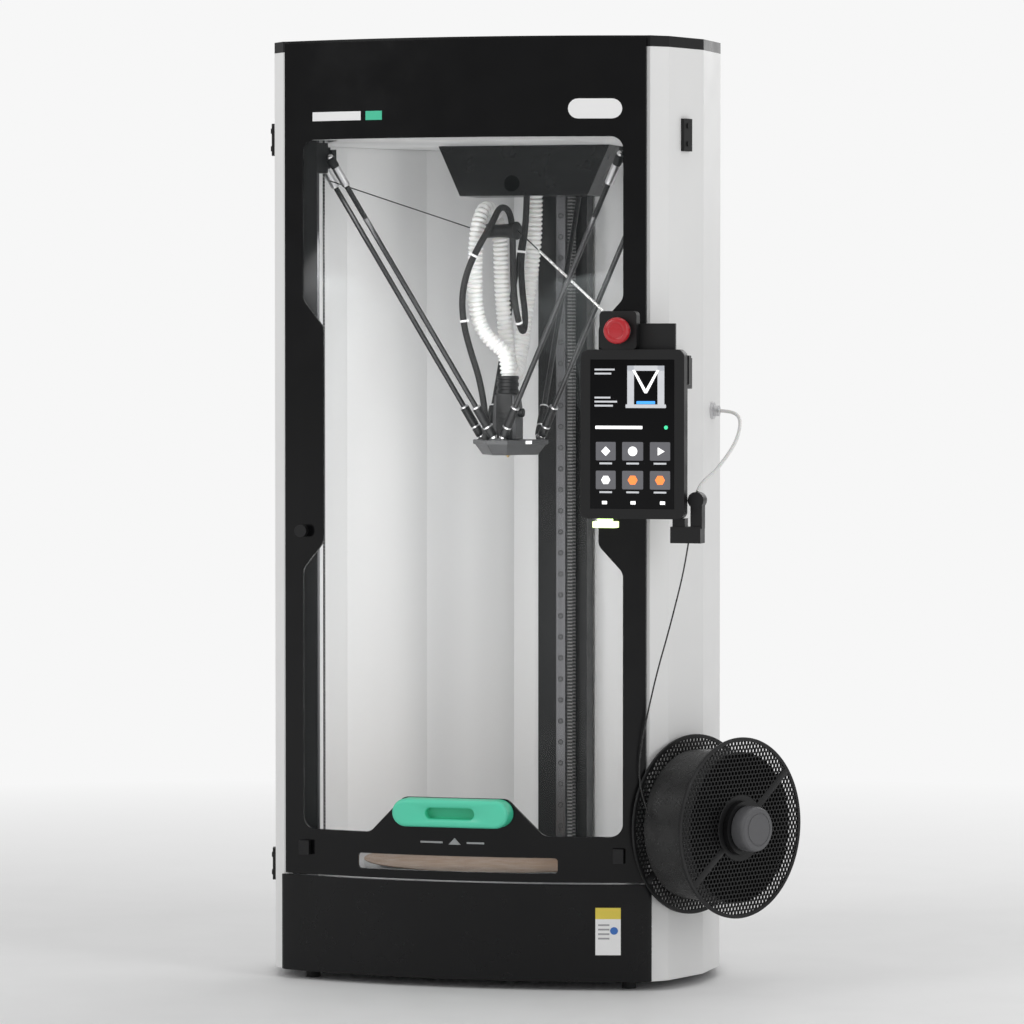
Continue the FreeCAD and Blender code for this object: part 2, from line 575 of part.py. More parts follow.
port_nose = cylinder("port_nose", ("side_x", -42, 514.5), 6, 9, Vector(1, 0, 0))
node("side_port", fuse("side_port", port_flange, port_nose))

# ---------------------------------------------------------------- spool on its arbor
spool_centre = Vector(size("spool_x"), size("spool_y"), size("spool_z"))


def on_spool(offset):
    """A point on the spool's axis, offset outwards from its middle."""
    return tuple(spool_centre + SPOOL_AXIS * offset)


half = size("spool_half")
flange = size("flange_thick")
flanges = [cylinder(f"flange_{index}", on_spool(low), "flange_radius", "flange_thick", SPOOL_AXIS)
           for index, low in enumerate((-half, half - flange))]
hub = cylinder("hub", on_spool(-half), "hub_bore + 4", "2 * spool_half", SPOOL_AXIS)
hub_hole = cylinder("hub_hole", on_spool(-half - 1), "hub_bore", "2 * spool_half + 2", SPOOL_AXIS)
node("spool", cut("spool", fuse("spool_solid", hub, *flanges), hub_hole))
coil = cylinder("coil", on_spool(-half + flange), "winding_radius", "2 * (spool_half - flange_thick)", SPOOL_AXIS)
coil_hole = cylinder("coil_hole", on_spool(-half), "hub_bore + 4", "2 * spool_half", SPOOL_AXIS)
node("filament_winding", cut("filament_winding", coil, coil_hole))
axle = cylinder("arbor_axle", on_spool(-60), "arbor_radius", 60 + half + 1, SPOOL_AXIS)
boss = cylinder("arbor_boss", on_spool(half + 0.8), "boss_radius", 6, SPOOL_AXIS)
base_block = extrude("base_block", base_plan, "base_top - floor_z", "floor_z")
outer_block = extrude("outer_block", base_plan, "panel_top - base_top", "base_top")
node("spool_arbor", cut("spool_arbor", fuse("arbor_solid", axle, boss), base_block, outer_block))
knob_round = cylinder("spool_knob_round", on_spool(half + 6.8), "spool_knob_radius", 20, SPOOL_AXIS)
node("spool_knob", group("spool_knob", knob_round))

# ---------------------------------------------------------------- clips on the side panels
face = Vector(size("side_x") - size("shoulder_x"), size("side_front_y") - size("shoulder_y"), 0)
face_angle = math.degrees(math.atan2(face.y, face.x))
clips = []
screws = []
for side, sign in (("right", 1), ("left", -1)):
    for level, height in (("high", 821), ("low", -2)):
        middle = Vector(sign * 239.6, -118, height)
        plate = box(f"clip_{side}_{level}", (-8.5, 0, -18), (17, 4.5, 36))
        heads = [cylinder(f"screw_{side}_{level}_{index}", (0, 4.5, z), 3, 1.2, Vector(0, 1, 0))
                 for index, z in enumerate((-10, 10))]
        turn = sign * (face_angle - 180)
        place = FreeCAD.Placement(middle, FreeCAD.Rotation(UP, turn))
        for parts, items in ((clips, [plate]), (screws, heads)):
            holder = group(f"{side}_{level}_{len(parts)}_{items[0].Name}", *items)
            holder.Placement = place
            parts.append(holder)
trimmed_clips = cut("trimmed_clips", group("clip_set", *clips), house_block, base_block)
node("panel_clips", group("panel_clips", trimmed_clips, *screws))

# ---------------------------------------------------------------- base contents
shelf = size("floor_z") + size("foot_height") + size("bottom_thick")
leg_tall, board_thick = 8, 1.6
leg_places = [(46, -24), (144, -24), (46, 94), (144, 94)]
psu = box("psu_case", (-110, -40, shelf), (120, 200, 46))
node("power_supply", group("power_supply", psu))
board = box("board", (40, -30, shelf + leg_tall), (110, 130, board_thick))
chips = [box(f"chip_{index}", (55 + 24 * index, 20, shelf + leg_tall + board_thick), (14, 14, 8))
         for index in range(4)]
legs = [cylinder(f"leg_{index}", (x, y, shelf), 3, leg_tall) for index, (x, y) in enumerate(leg_places)]
node("main_board", fuse("main_board", board, *chips, *legs))
fan_deep = 18
fan_y = size("rear_y") - size("base_wall") - fan_deep
frame_block = box("fan_block", (fan_x - fan_side / 2, fan_y, fan_z - fan_side / 2), (fan_side, fan_deep, fan_side))
fan_hole = cylinder("fan_hole", (fan_x, fan_y - 1, fan_z), fan_bore + 1, fan_deep + 2, Vector(0, 1, 0))
hub_post = cylinder("fan_stator", (fan_x, fan_y, fan_z), 9, 3, Vector(0, 1, 0))
spokes = [box("spoke_level", (fan_x - 29, fan_y, fan_z - 1.5), (58, 2.5, 3)),
          box("spoke_upright", (fan_x - 1.5, fan_y, fan_z - 29), (3, 2.5, 58))]
node("fan_frame", fuse("fan_frame", cut("fan_ring", frame_block, fan_hole), hub_post, *spokes))
rotor_y = fan_y + 3.5
rotor_hub = cylinder("rotor_hub", (fan_x, rotor_y, fan_z), 10, 11, Vector(0, 1, 0))
blades = []
for index in range(7):
    blade = box(f"blade_{index}", (8, -0.7, -4.6), (18, 1.4, 9.2))
    tilt = FreeCAD.Rotation(Vector(1, 0, 0), 40)
    spin = FreeCAD.Rotation(UP, index * 360 / 7)
    lay_down = FreeCAD.Rotation(Vector(1, 0, 0), -90)
    holder = group(f"blade_holder_{index}", blade)
    holder.Placement = FreeCAD.Placement(Vector(fan_x, rotor_y + 5.5, fan_z), lay_down * spin * tilt)
    blades.append(holder)
node("fan_rotor", fuse("fan_rotor", rotor_hub, *blades))

inlet_case = box("inlet_case", (inlet_x - 24.8, "rear_y - 30", inlet_z - 29.8), (49.6, 32, 59.6))
socket = box("inlet_socket", (inlet_x - 13, "rear_y - 16", inlet_z - 24), (26, 30, 18))
well = box("rocker_well", (inlet_x - 8, "rear_y - 9", inlet_z + 1), (16, 30, 26))
inlet_pins = [box(f"inlet_pin_{index}", (inlet_x + shift - 1, "rear_y - 17", inlet_z - 17), (2, 12, 4))
             for index, shift in enumerate((-7, 0, 7))]
pivot_bore = cylinder("pivot_bore", (inlet_x - 10, "rear_y - 1.5", inlet_z + 14), 1.3, 20, Vector(1, 0, 0))
pivot = cylinder("pivot", (inlet_x - 9.5, "rear_y - 1.5", inlet_z + 14), 1.2, 19, Vector(1, 0, 0))
rocker = box("rocker", (inlet_x - 6.5, "rear_y - 4", inlet_z + 3.5), (13, 7, 21))
node("power_inlet", fuse("power_inlet", cut("inlet_shell", inlet_case, socket, well, pivot_bore), *inlet_pins))
node("power_rocker", fuse("power_rocker", rocker, pivot))


# ---------------------------------------------------------------- hoses and strands
def tube(label, route, diameter):
    """A round tube along straight runs joined by arcs as large as the runs allow."""
    def widest(before, after, half_turn):
        return 0.45 * min(before, after) / math.tan(half_turn)

    curves, radii = rounded(route, widest)
    path = Part.Wire([curve.toShape() for curve in curves])
    start = Vector(*route[0])
    profile = Part.Wire([Part.Circle(start, Vector(*route[1]) - start, diameter / 2).toShape()])
    solid = path.makePipeShell([profile], True, True)
    item = doc.addObject("Part::Feature", label)
    item.Shape = solid
    expected = path.Length * math.pi * diameter ** 2 / 4
    print(f"{label}: length {path.Length:.0f}, bends {[round(radius) for radius in radii]}, "
          f"volume ratio {solid.Volume / expected:.3f}")
    return node(label, item)


hose_route = [
    (8, 85, 761), (8, 85, 724), (5, 85, 688), (0, 85, 650), (-5, 85, 614), (-9, 82, 578),
    (-9, 65, 552), (-9, 44, 556), (-11, 34, 584), (-14, 33, 616), (-17, 33, 650), (-18, 33, 684),
    (-19, 32, 716), (-23, 21, 744), (-29, 3, 746), (-33, -9, 726), (-35, -12, 698), (-36, -11, 666),
    (-36, -10, 634), (-30, -8, 608), (-17, -5, 592), (0, 0, 578), (0, 0, 553),
]
sleeve_route = [
    (5, 60, 761), (4, 60, 724), (-2, 59, 688), (0, 58, 652), (5, 56, 620), (7, 40, 600), (5, 24, 616),
    (1, 20, 648), (0, 20, 682), (0, 20, 714), (-1, 14, 742), (-7, -7, 748), (-12, -21, 728), (-24, -30, 704),
    (-38, -32, 676), (-46, -30, 646), (-45, -28, 614), (-37, -28, 584), (-27, -27, 554), (-22, -24, 526),
    (-20, -22, 502), (-20, -22, 480),
]
guide_route = [(260.4, -42, 514.5), (275, -44, 514), (288, -58, 508), (295, -84, 496), (297, -114, 480),
               (294, -146, 464), (288, -176, 448), (280, -200, 438), (278, -210, 428)]
filament_route = [(268, -210, 372), (263, -209, 343), (254, -208, 308), (244, -206, 272), (232, -205, 232),
                  (222, -205, 190), (214, -205, 152), (211, -205, 122), (213, -204, 96), (221, -202, 72)]
tube("air_hose", hose_route, size("hose_diameter"))
tube("wire_sleeve", sleeve_route, size("sleeve_diameter"))
tube("guide_tube", guide_route, size("guide_diameter"))
tube("filament_strand", filament_route, size("filament_diameter"))

# ---------------------------------------------------------------- checks and files
doc.recompute()
for item in doc.Objects:
    if "Invalid" in item.State or "Error" in item.State:
        raise RuntimeError(f"{item.Label} failed: {item.State}")
os.makedirs("parts", exist_ok=True)
for label, item in nodes.items():
    if item.Shape.isNull() or not item.Shape.isValid() or not item.Shape.Solids:
        raise RuntimeError(f"{label} has no valid shape")
for label, item in nodes.items():
    item.Shape.exportStep(f"parts/{label}.step")
print(len(nodes), "nodes written")
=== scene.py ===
import json
import math

import bmesh
import bpy
from mathutils import Matrix, Vector


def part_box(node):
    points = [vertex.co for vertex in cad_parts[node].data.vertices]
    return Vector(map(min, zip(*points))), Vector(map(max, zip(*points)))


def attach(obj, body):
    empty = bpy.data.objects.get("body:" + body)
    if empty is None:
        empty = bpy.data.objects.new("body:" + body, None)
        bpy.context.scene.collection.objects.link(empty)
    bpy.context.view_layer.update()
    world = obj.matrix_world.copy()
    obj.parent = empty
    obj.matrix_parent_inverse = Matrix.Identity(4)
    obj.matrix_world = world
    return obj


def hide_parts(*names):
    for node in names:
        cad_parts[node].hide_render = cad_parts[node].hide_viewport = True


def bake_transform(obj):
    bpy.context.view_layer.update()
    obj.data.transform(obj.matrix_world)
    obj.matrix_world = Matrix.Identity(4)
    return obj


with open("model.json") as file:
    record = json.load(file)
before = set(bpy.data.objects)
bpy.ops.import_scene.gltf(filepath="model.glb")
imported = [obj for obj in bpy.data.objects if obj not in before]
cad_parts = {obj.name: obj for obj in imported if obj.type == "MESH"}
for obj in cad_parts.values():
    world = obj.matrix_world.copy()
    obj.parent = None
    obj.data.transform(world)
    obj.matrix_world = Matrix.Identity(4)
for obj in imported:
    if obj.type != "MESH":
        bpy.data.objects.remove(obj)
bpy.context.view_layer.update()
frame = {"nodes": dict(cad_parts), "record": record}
NODES = frame["nodes"]
scene = bpy.context.scene

DOOR_RADIUS = 0.657
DOOR_CENTRE_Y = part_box("base_cover")[0][1] + DOOR_RADIUS
SPOOL_CENTRE = Vector((0.282, -0.137, 0.056))
SPOOL_AXIS = Vector((0.883, -0.469, 0)).normalized()
TOWERS = {"rear": 90, "left": 210, "right": 330}


# ------------------------------------------------------------------ camera, light and backdrop
def look(item, target):
    item.rotation_mode = "QUATERNION"
    item.rotation_quaternion = (Vector(target) - item.location).to_track_quat("-Z", "Y")


AZIMUTH = math.radians(16.5)
CAMERA_DISTANCE = 5.9
camera = bpy.data.objects.new("camera", bpy.data.cameras.new("camera"))
scene.collection.objects.link(camera)
scene.camera = camera
camera.data.sensor_width = 36
camera.data.lens = 181
camera.data.clip_end = 100
camera.location = (CAMERA_DISTANCE * math.sin(AZIMUTH), -CAMERA_DISTANCE * math.cos(AZIMUTH), 0.588)
look(camera, (0.0046, 0.0013, 0.397))


def area_light(name, place, target, width, height, power, colour=(1, 1, 1)):
    data = bpy.data.lights.new(name, "AREA")
    data.shape = "RECTANGLE"
    data.size = width
    data.size_y = height
    data.energy = power
    data.color = colour
    item = bpy.data.objects.new(name, data)
    scene.collection.objects.link(item)
    item.location = place
    look(item, target)
    return item


# name, place, target, width, height and power
area_light("key", (-2.4, -3.2, 2.6), (0, 0, 0.35), 1.6, 2.4, 46)
area_light("fill", (3.4, -1.8, 1.6), (0.1, 0, 0.3), 1.6, 2.6, 34)
area_light("top", (0, 0.4, 3.2), (0, 0, 0), 2.6, 2.6, 22)
area_light("rear", (0.6, 3.0, 1.8), (0, 0, 0.3), 2.0, 2.0, 20)
area_light("chamber_lamp_left", (-0.14, -0.15, 0.70), (-0.12, 0.25, 0.25), 0.06, 0.16, 0.2)
area_light("chamber_lamp_right", (0.14, -0.15, 0.70), (0.12, 0.25, 0.25), 0.06, 0.16, 0.2)
area_light("chamber_wash", (0, -0.17, 0.34), (0, 0.2, 0.38), 0.30, 0.60, 1.25)

world = bpy.data.worlds.new("studio")
scene.world = world
world.use_nodes = True

# the backdrop is near white, and gives the object a dimmer, even light
BACKDROP = 0.93
SURROUNDINGS = 0.42
sky = world.node_tree
lit = sky.nodes["Background"]
lit.inputs["Color"].default_value = (1, 1, 1, 1)
lit.inputs["Strength"].default_value = SURROUNDINGS
seen = sky.nodes.new("ShaderNodeBackground")
seen.inputs["Color"].default_value = (1, 1, 1, 1)
seen.inputs["Strength"].default_value = BACKDROP
ray = sky.nodes.new("ShaderNodeLightPath")
choice = sky.nodes.new("ShaderNodeMixShader")
sky.links.new(ray.outputs["Is Camera Ray"], choice.inputs[0])
sky.links.new(lit.outputs[0], choice.inputs[1])
sky.links.new(seen.outputs[0], choice.inputs[2])
sky.links.new(choice.outputs[0], sky.nodes["World Output"].inputs["Surface"])
scene.view_settings.view_transform = "Standard"


# ------------------------------------------------------------------ shader building
class Shader:
    """A node material round one Principled shader."""

    def __init__(self, name, **constants):
        self.material = bpy.data.materials.new(name)
        self.material.use_nodes = True
        self.tree = self.material.node_tree
        self.main = self.tree.nodes["Principled BSDF"]
        for socket, value in constants.items():
            name_of = socket.replace("_", " ").title().replace("Ior", "IOR")
            self.main.inputs[name_of].default_value = value
        self.coordinates = self.tree.nodes.new("ShaderNodeTexCoord")

    def add(self, kind, **settings):
        item = self.tree.nodes.new(kind)
        for key, value in settings.items():
            setattr(item, key, value)
        return item

    def link(self, out, into):
        self.tree.links.new(out, into)

    def stretched(self, scale=(1, 1, 1), turn=(0, 0, 0)):
        mapping = self.add("ShaderNodeMapping")
        mapping.inputs["Scale"].default_value = scale
        mapping.inputs["Rotation"].default_value = turn
        self.link(self.coordinates.outputs["Object"], mapping.inputs["Vector"])
        return mapping.outputs["Vector"]

    def noise(self, scale, detail=2.0, stretch=(1, 1, 1)):
        item = self.add("ShaderNodeTexNoise")
        item.inputs["Scale"].default_value = scale
        item.inputs["Detail"].default_value = detail
        self.link(self.stretched(stretch), item.inputs["Vector"])
        return item.outputs["Fac"]

    def cells(self, scale, stretch=(1, 1, 1)):
        item = self.add("ShaderNodeTexVoronoi")
        item.inputs["Scale"].default_value = scale
        self.link(self.stretched(stretch), item.inputs["Vector"])
        return item.outputs["Distance"]

    def waves(self, scale, direction="Z", distortion=0.0, turn=(0, 0, 0)):
        item = self.add("ShaderNodeTexWave", bands_direction=direction)
        item.inputs["Scale"].default_value = scale
        item.inputs["Distortion"].default_value = distortion
        self.link(self.stretched(turn=turn), item.inputs["Vector"])
        return item.outputs["Fac"]

    def spread(self, source, low, high, start=0.3, stop=0.7):
        """The source's values from start to stop, spread over low to high."""
        item = self.add("ShaderNodeMapRange")
        item.inputs["From Min"].default_value = start
        item.inputs["From Max"].default_value = stop
        item.inputs["To Min"].default_value = low
        item.inputs["To Max"].default_value = high
        self.link(source, item.inputs["Value"])
        return item.outputs["Result"]

    def product(self, first, second):
        item = self.add("ShaderNodeMath", operation="MULTIPLY")
        self.link(first, item.inputs[0])
        self.link(second, item.inputs[1])
        return item.outputs[0]

    def colours(self, source, stops):
        ramp = self.add("ShaderNodeValToRGB")
        elements = ramp.color_ramp.elements
        while len(elements) < len(stops):
            elements.new(0.5)
        for element, (place, colour) in zip(elements, stops):
            element.position = place
            element.color = (*colour, 1)
        self.link(source, ramp.inputs["Fac"])
        self.link(ramp.outputs["Color"], self.main.inputs["Base Color"])

    def roughness(self, source, low, high):
        self.link(self.spread(source, low, high), self.main.inputs["Roughness"])

    def bump(self, source, strength, distance):
        item = self.add("ShaderNodeBump")
        item.inputs["Strength"].default_value = strength
        item.inputs["Distance"].default_value = distance
        self.link(source, item.inputs["Height"])
        previous = self.main.inputs["Normal"].links
        if previous:
            self.link(previous[0].from_socket, item.inputs["Normal"])
        self.link(item.outputs["Normal"], self.main.inputs["Normal"])


def tinted(colour, factor):
    return tuple(min(1, channel * factor) for channel in colour)


def finish_of(name, colour, low, high, grain=900, grain_depth=0.00006, variation=0.08, **constants):
    """A moulded or painted surface: slight colour drift, uneven gloss and a fine grain."""
    shader = Shader(name, **constants)
    drift = shader.noise(9, 3)
    shader.colours(drift, [(0.3, tinted(colour, 1 - variation)), (0.7, tinted(colour, 1 + variation))])
    shader.roughness(shader.noise(28, 4), low, high)
    shader.bump(shader.noise(grain, 2), 0.25, grain_depth)
    return shader


def metal(name, colour, low, high, stretch):
    """A brushed metal whose strokes run along the axis with the smallest stretch."""
    shader = Shader(name, metallic=1.0)
    strokes = shader.noise(160, 3, stretch)
    shader.colours(strokes, [(0.25, tinted(colour, 0.86)), (0.75, colour)])
    shader.roughness(strokes, low, high)
    shader.bump(strokes, 0.12, 0.00005)
    return shader.material


def glow(name, colour, strength):
    shader = Shader(name, roughness=0.35, emission_strength=strength)
    shader.main.inputs["Emission Color"].default_value = (*colour, 1)
    shader.colours(shader.noise(60, 2), [(0.3, tinted(colour, 0.9)), (0.7, colour)])
    return shader.material


WHITE = (0.80, 0.80, 0.795)
GREEN = (0.055, 0.60, 0.36)

panel_white = finish_of("panel_white", WHITE, 0.36, 0.5, 1300, 0.00005, 0.015).material
gloss_black = finish_of("gloss_black", (0.003, 0.003, 0.0034), 0.12, 0.2, 60, 0.00002, 0.1,
                        specular_ior_level=0.22).material
lid_black = finish_of("lid_black", (0.005, 0.005, 0.0055), 0.26, 0.36, 1100, specular_ior_level=0.25).material
tower_black = finish_of("tower_black", (0.003, 0.003, 0.0034), 0.28, 0.4, 1100,
                        specular_ior_level=0.2).material
base_grey = finish_of("base_grey", (0.0045, 0.0045, 0.005), 0.24, 0.36, 1500, 0.00005,
                      specular_ior_level=0.25).material
black_plastic = finish_of("black_plastic", (0.007, 0.007, 0.0075), 0.34, 0.5, 1600, 0.0001,
                          specular_ior_level=0.35).material
dark_grey = finish_of("effector_grey", (0.045, 0.046, 0.048), 0.35, 0.5, 1500, 0.0001).material
grey_plastic = finish_of("knob_grey", (0.10, 0.10, 0.105), 0.42, 0.55, 1400, 0.0001).material
green_pull = finish_of("pull_green", GREEN, 0.34, 0.46, 1200, 0.00005, 0.03).material
# painted highlight: a lighter copy of the pull's green for its rounded lip, where light catches it
green_rim_highlight = finish_of("pull_rim_highlight", (0.10, 0.68, 0.45), 0.3, 0.4, 1200, 0.00004, 0.03).material
stop_red = finish_of("stop_red", (0.48, 0.012, 0.02), 0.2, 0.32, 900, 0.00003, 0.06, coat_weight=0.3).material
hood_black = finish_of("hood_black", (0.003, 0.003, 0.0034), 0.2, 0.3, 900, 0.00003, 0.1,
                       specular_ior_level=0.25).material
hose_white = finish_of("hose_white", (0.78, 0.78, 0.765), 0.3, 0.44, 700, 0.00005, 0.03,
                       subsurface_weight=0.05).material
rubber = finish_of("foot_rubber", (0.02, 0.02, 0.02), 0.7, 0.85, 1400, 0.0001).material
aluminium = metal("aluminium", (0.72, 0.72, 0.73), 0.28, 0.42, (1, 1, 0.04))
rail_steel = metal("rail_steel", (0.10, 0.10, 0.104), 0.26, 0.38, (1, 1, 0.03))
ball_steel = metal("ball_steel", (0.8, 0.8, 0.8), 0.12, 0.2, (1, 1, 0.2))
zinc = metal("zinc_plate", (0.5, 0.5, 0.51), 0.35, 0.5, (0.05, 1, 1))
brass = metal("nozzle_brass", (0.75, 0.55, 0.25), 0.25, 0.35, (1, 1, 0.1))
bright_edge = metal("bed_edge", (0.85, 0.85, 0.84), 0.15, 0.25, (0.1, 1, 1))
white_print = finish_of("white_print", (0.85, 0.85, 0.85), 0.3, 0.4, 1200, 0.00002, 0.02).material
green_print = finish_of("green_print", (0.05, 0.55, 0.33), 0.3, 0.4, 1200, 0.00002, 0.02).material
yellow_print = finish_of("yellow_print", (0.75, 0.6, 0.08), 0.35, 0.45, 1200, 0.00002, 0.03).material
blue_print = finish_of("blue_print", (0.04, 0.16, 0.5), 0.35, 0.45, 1200, 0.00002, 0.03).material
grey_print = finish_of("grey_print", (0.35, 0.35, 0.36), 0.35, 0.45, 1200, 0.00002, 0.03).material
light_lens = glow("light_lens", (0.72, 1.0, 0.38), 2.2)
screen_white = glow("screen_white", (0.9, 0.9, 0.9), 0.9)
screen_soft = glow("screen_soft", (0.45, 0.46, 0.48), 0.6)
screen_grey = glow("screen_tile", (0.10, 0.10, 0.11), 0.5)
screen_orange = glow("screen_orange", (0.9, 0.22, 0.05), 0.9)
screen_blue = glow("screen_blue", (0.05, 0.3, 0.8), 0.9)
screen_green = glow("screen_green", (0.05, 0.6, 0.3), 0.8)


def liner_with_painted_bands():
    """Coated grey sheet with broad vertical bands of painted light and shade in its colour, standing in for its
    bends catching the light unevenly.
    """
    shader = Shader("liner_grey")
    # painted light and shade: vertical bands of lighter and darker grey in the colour, for the sheet's bends
    painted_bend_shading = shader.noise(7, 2, (1, 1, 0.05))
    shader.colours(painted_bend_shading, [(0.3, (0.60, 0.605, 0.61)), (0.5, (0.76, 0.765, 0.765)),
                           (0.72, (0.84, 0.84, 0.84))])
    shader.roughness(shader.noise(30, 3, (1, 1, 0.1)), 0.3, 0.5)
    shader.bump(shader.noise(900, 2), 0.2, 0.00005)
    return shader.material


def window_material():
    shader = Shader("clear_window", roughness=0.03, alpha=0.02, specular_ior_level=0.3)
    shader.colours(shader.noise(4, 2), [(0.3, (0.30, 0.33, 0.34)), (0.7, (0.36, 0.40, 0.40))])
    shader.bump(shader.noise(3, 1), 0.02, 0.0002)
    return shader.material


def bed_material():
    """A powder coated spring steel sheet, bronze and finely pitted."""
    shader = Shader("bed_bronze", metallic=0.55)
    speck = shader.noise(700, 3)
    shader.colours(speck, [(0.35, (0.16, 0.10, 0.065)), (0.5, (0.27, 0.18, 0.12)), (0.7, (0.40, 0.28, 0.19))])
    shader.roughness(shader.noise(40, 3), 0.38, 0.55)
    shader.bump(shader.cells(900), 0.4, 0.0001)
    return shader.material


def carbon_material():
    """Wound carbon rod: a fine diagonal weave under a clear coat."""
    shader = Shader("rod_black", coat_weight=0.25, specular_ior_level=0.35)
    shader.main.inputs["Coat Roughness"].default_value = 0.12
    one = shader.waves(220, "Z", 0.4, (0.7, 0.3, 0))
    two = shader.waves(220, "Z", 0.4, (-0.7, 0.3, 0))
    weave = shader.product(one, two)
    shader.colours(weave, [(0.2, (0.005, 0.005, 0.0055)), (0.7, (0.022, 0.022, 0.024))])
    shader.roughness(weave, 0.3, 0.42)
    shader.bump(weave, 0.3, 0.0001)
    return shader.material


def braid_material():
    shader = Shader("sleeve_black")
    one = shader.waves(260, "Z", 0.5, (0.8, 0, 0))
    two = shader.waves(260, "Z", 0.5, (-0.8, 0, 0))
    braid = shader.product(one, two)
    shader.colours(braid, [(0.15, (0.004, 0.004, 0.004)), (0.7, (0.03, 0.03, 0.03))])
    shader.roughness(braid, 0.6, 0.75)
    shader.bump(braid, 0.6, 0.0003)
    return shader.material


def belt_material():
    """Toothed rubber, 2 mm from tooth to tooth; the lighter grey teeth are painted highlights."""
    shader = Shader("belt_black")
    teeth_and_highlights = shader.waves(78, "Z")
    # painted highlight: the teeth are lighter grey than the black rubber, for light catching them
    shader.colours(teeth_and_highlights, [(0.45, (0.008, 0.008, 0.008)), (0.8, (0.16, 0.16, 0.16))])
    shader.roughness(teeth_and_highlights, 0.55, 0.7)
    shader.bump(teeth_and_highlights, 0.8, 0.0006)
    return shader.material


def screen_material():
    shader = Shader("screen_glass", specular_ior_level=0.15)
    shader.colours(shader.noise(5, 2), [(0.3, (0.0015, 0.0015, 0.002)), (0.7, (0.003, 0.003, 0.0035))])
    shader.roughness(shader.noise(14, 4), 0.06, 0.14)
    return shader.material


def board_material():
    shader = Shader("board_green")
    tracks = shader.cells(180)
    shader.colours(tracks, [(0.2, (0.01, 0.09, 0.03)), (0.6, (0.03, 0.22, 0.08))])
    shader.roughness(tracks, 0.25, 0.4)
    shader.bump(tracks, 0.3, 0.0001)
    return shader.material


def filament_material():
    shader = Shader("filament_black")
    shader.colours(shader.noise(50, 3), [(0.3, (0.008, 0.008, 0.008)), (0.7, (0.022, 0.022, 0.022))])
    shader.roughness(shader.noise(90, 3), 0.22, 0.36)
    shader.bump(shader.noise(800, 2), 0.2, 0.00005)
    return shader.material


liner_grey = liner_with_painted_bands()
clear_window = window_material()
bed_bronze = bed_material()
rod_black = carbon_material()
sleeve_black = braid_material()
belt_black = belt_material()
screen_glass = screen_material()
board_green = board_material()
filament_black = filament_material()

FINISHES = {
    "panel_white": panel_white, "gloss_black": gloss_black, "lid_black": lid_black, "base_grey": base_grey,
    "zinc_plate": zinc, "clear_window": clear_window, "pull_green": green_pull, "black_plastic": black_plastic,
    "effector_grey": dark_grey, "stop_red": stop_red, "light_lens": light_lens,
    "screen_glass": screen_glass, "aluminium": aluminium, "rail_steel": rail_steel, "rod_black": rod_black,
    "liner_grey": liner_grey, "tower_black": tower_black, "bed_bronze": bed_bronze, "bed_edge": bright_edge,
    "hose_white": hose_white, "sleeve_black": sleeve_black, "belt_black": belt_black,
    "tether_steel": bright_edge, "spool_black": black_plastic, "filament_black": filament_black,
    "knob_grey": grey_plastic, "foot_rubber": rubber, "nozzle_brass": brass, "board_green": board_green,
    "supply_case": zinc,
}
for entry in frame["record"]["subparts"]:
    node = NODES[entry["node"]]
    node.data.materials.clear()
    node.data.materials.append(FINISHES[entry["material_slot"]])
NODES["hood"].data.materials[0] = hood_black


# ------------------------------------------------------------------ mesh building
def piece(name, mesh, material, body, replaces=(), smooth=None):
    """A finished piece from a bmesh or mesh, riding on a body."""
    if isinstance(mesh, bmesh.types.BMesh):
        bmesh.ops.recalc_face_normals(mesh, faces=mesh.faces)
        data = bpy.data.meshes.new(name)
        mesh.to_mesh(data)
        mesh.free()
    else:
        data = mesh
    item = bpy.data.objects.new(name, data)
    scene.collection.objects.link(item)
    data.materials.append(material)
    if smooth is not None:
        data.set_sharp_from_angle(angle=math.radians(smooth))
        for face in data.polygons:
            face.use_smooth = True
    if body:
        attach(item, body)
    if replaces:
        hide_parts(*replaces)
    return item


def frame_along(axis, place):
    """A matrix that puts local +Z on axis and the local origin at place."""
    return Matrix.Translation(place) @ Vector(axis).to_track_quat("Z", "Y").to_matrix().to_4x4()


def skin(mesh, rings, ring=False):
    """Joins each ring of vertices to the next, with end faces or as a closed ring."""
    for low, high in zip(rings, rings[1:] + rings[:1] if ring else rings[1:]):
        for step in range(len(low)):
            after = (step + 1) % len(low)
            mesh.faces.new((low[step], low[after], high[after], high[step]))
    if not ring:
        mesh.faces.new(rings[0])
        mesh.faces.new(rings[-1])


def lathe(mesh, profile, place, steps=64, ring=False):
    """Adds the (radius, height) profile turned about local Z, with end faces or as a closed ring."""
    rings = []
    for radius, height in profile:
        rings.append([mesh.verts.new(place @ Vector((radius * math.cos(2 * math.pi * step / steps),
                                                     radius * math.sin(2 * math.pi * step / steps), height)))
                      for step in range(steps)])
    skin(mesh, rings, ring)


def prism(mesh, outline, low, high, place):
    """Adds the outline in local X and Y, pushed from low to high along local Z."""
    skin(mesh, [[mesh.verts.new(place @ Vector((x, y, height))) for x, y in outline]
                for height in (low, high)])


def block(mesh, low, high, bevel=0.0, place=None):
    """Adds a block with softened edges."""
    centre = (Vector(low) + Vector(high)) / 2
    extent = Vector(high) - Vector(low)
    matrix = (place or Matrix()) @ Matrix.Translation(centre) @ Matrix.Diagonal((*extent, 1))
    made = bmesh.ops.create_cube(mesh, size=1, matrix=matrix)
    if bevel:
        edges = list({edge for vert in made["verts"] for edge in vert.link_edges})
        bmesh.ops.bevel(mesh, geom=edges, offset=bevel, segments=2, affect="EDGES", profile=0.5)


def front(x, z, out=0.0):
    """A point on the door's curved outer face, or that far in front of it."""
    return Vector((x, DOOR_CENTRE_Y - math.sqrt((DOOR_RADIUS + out) ** 2 - x ** 2), z))


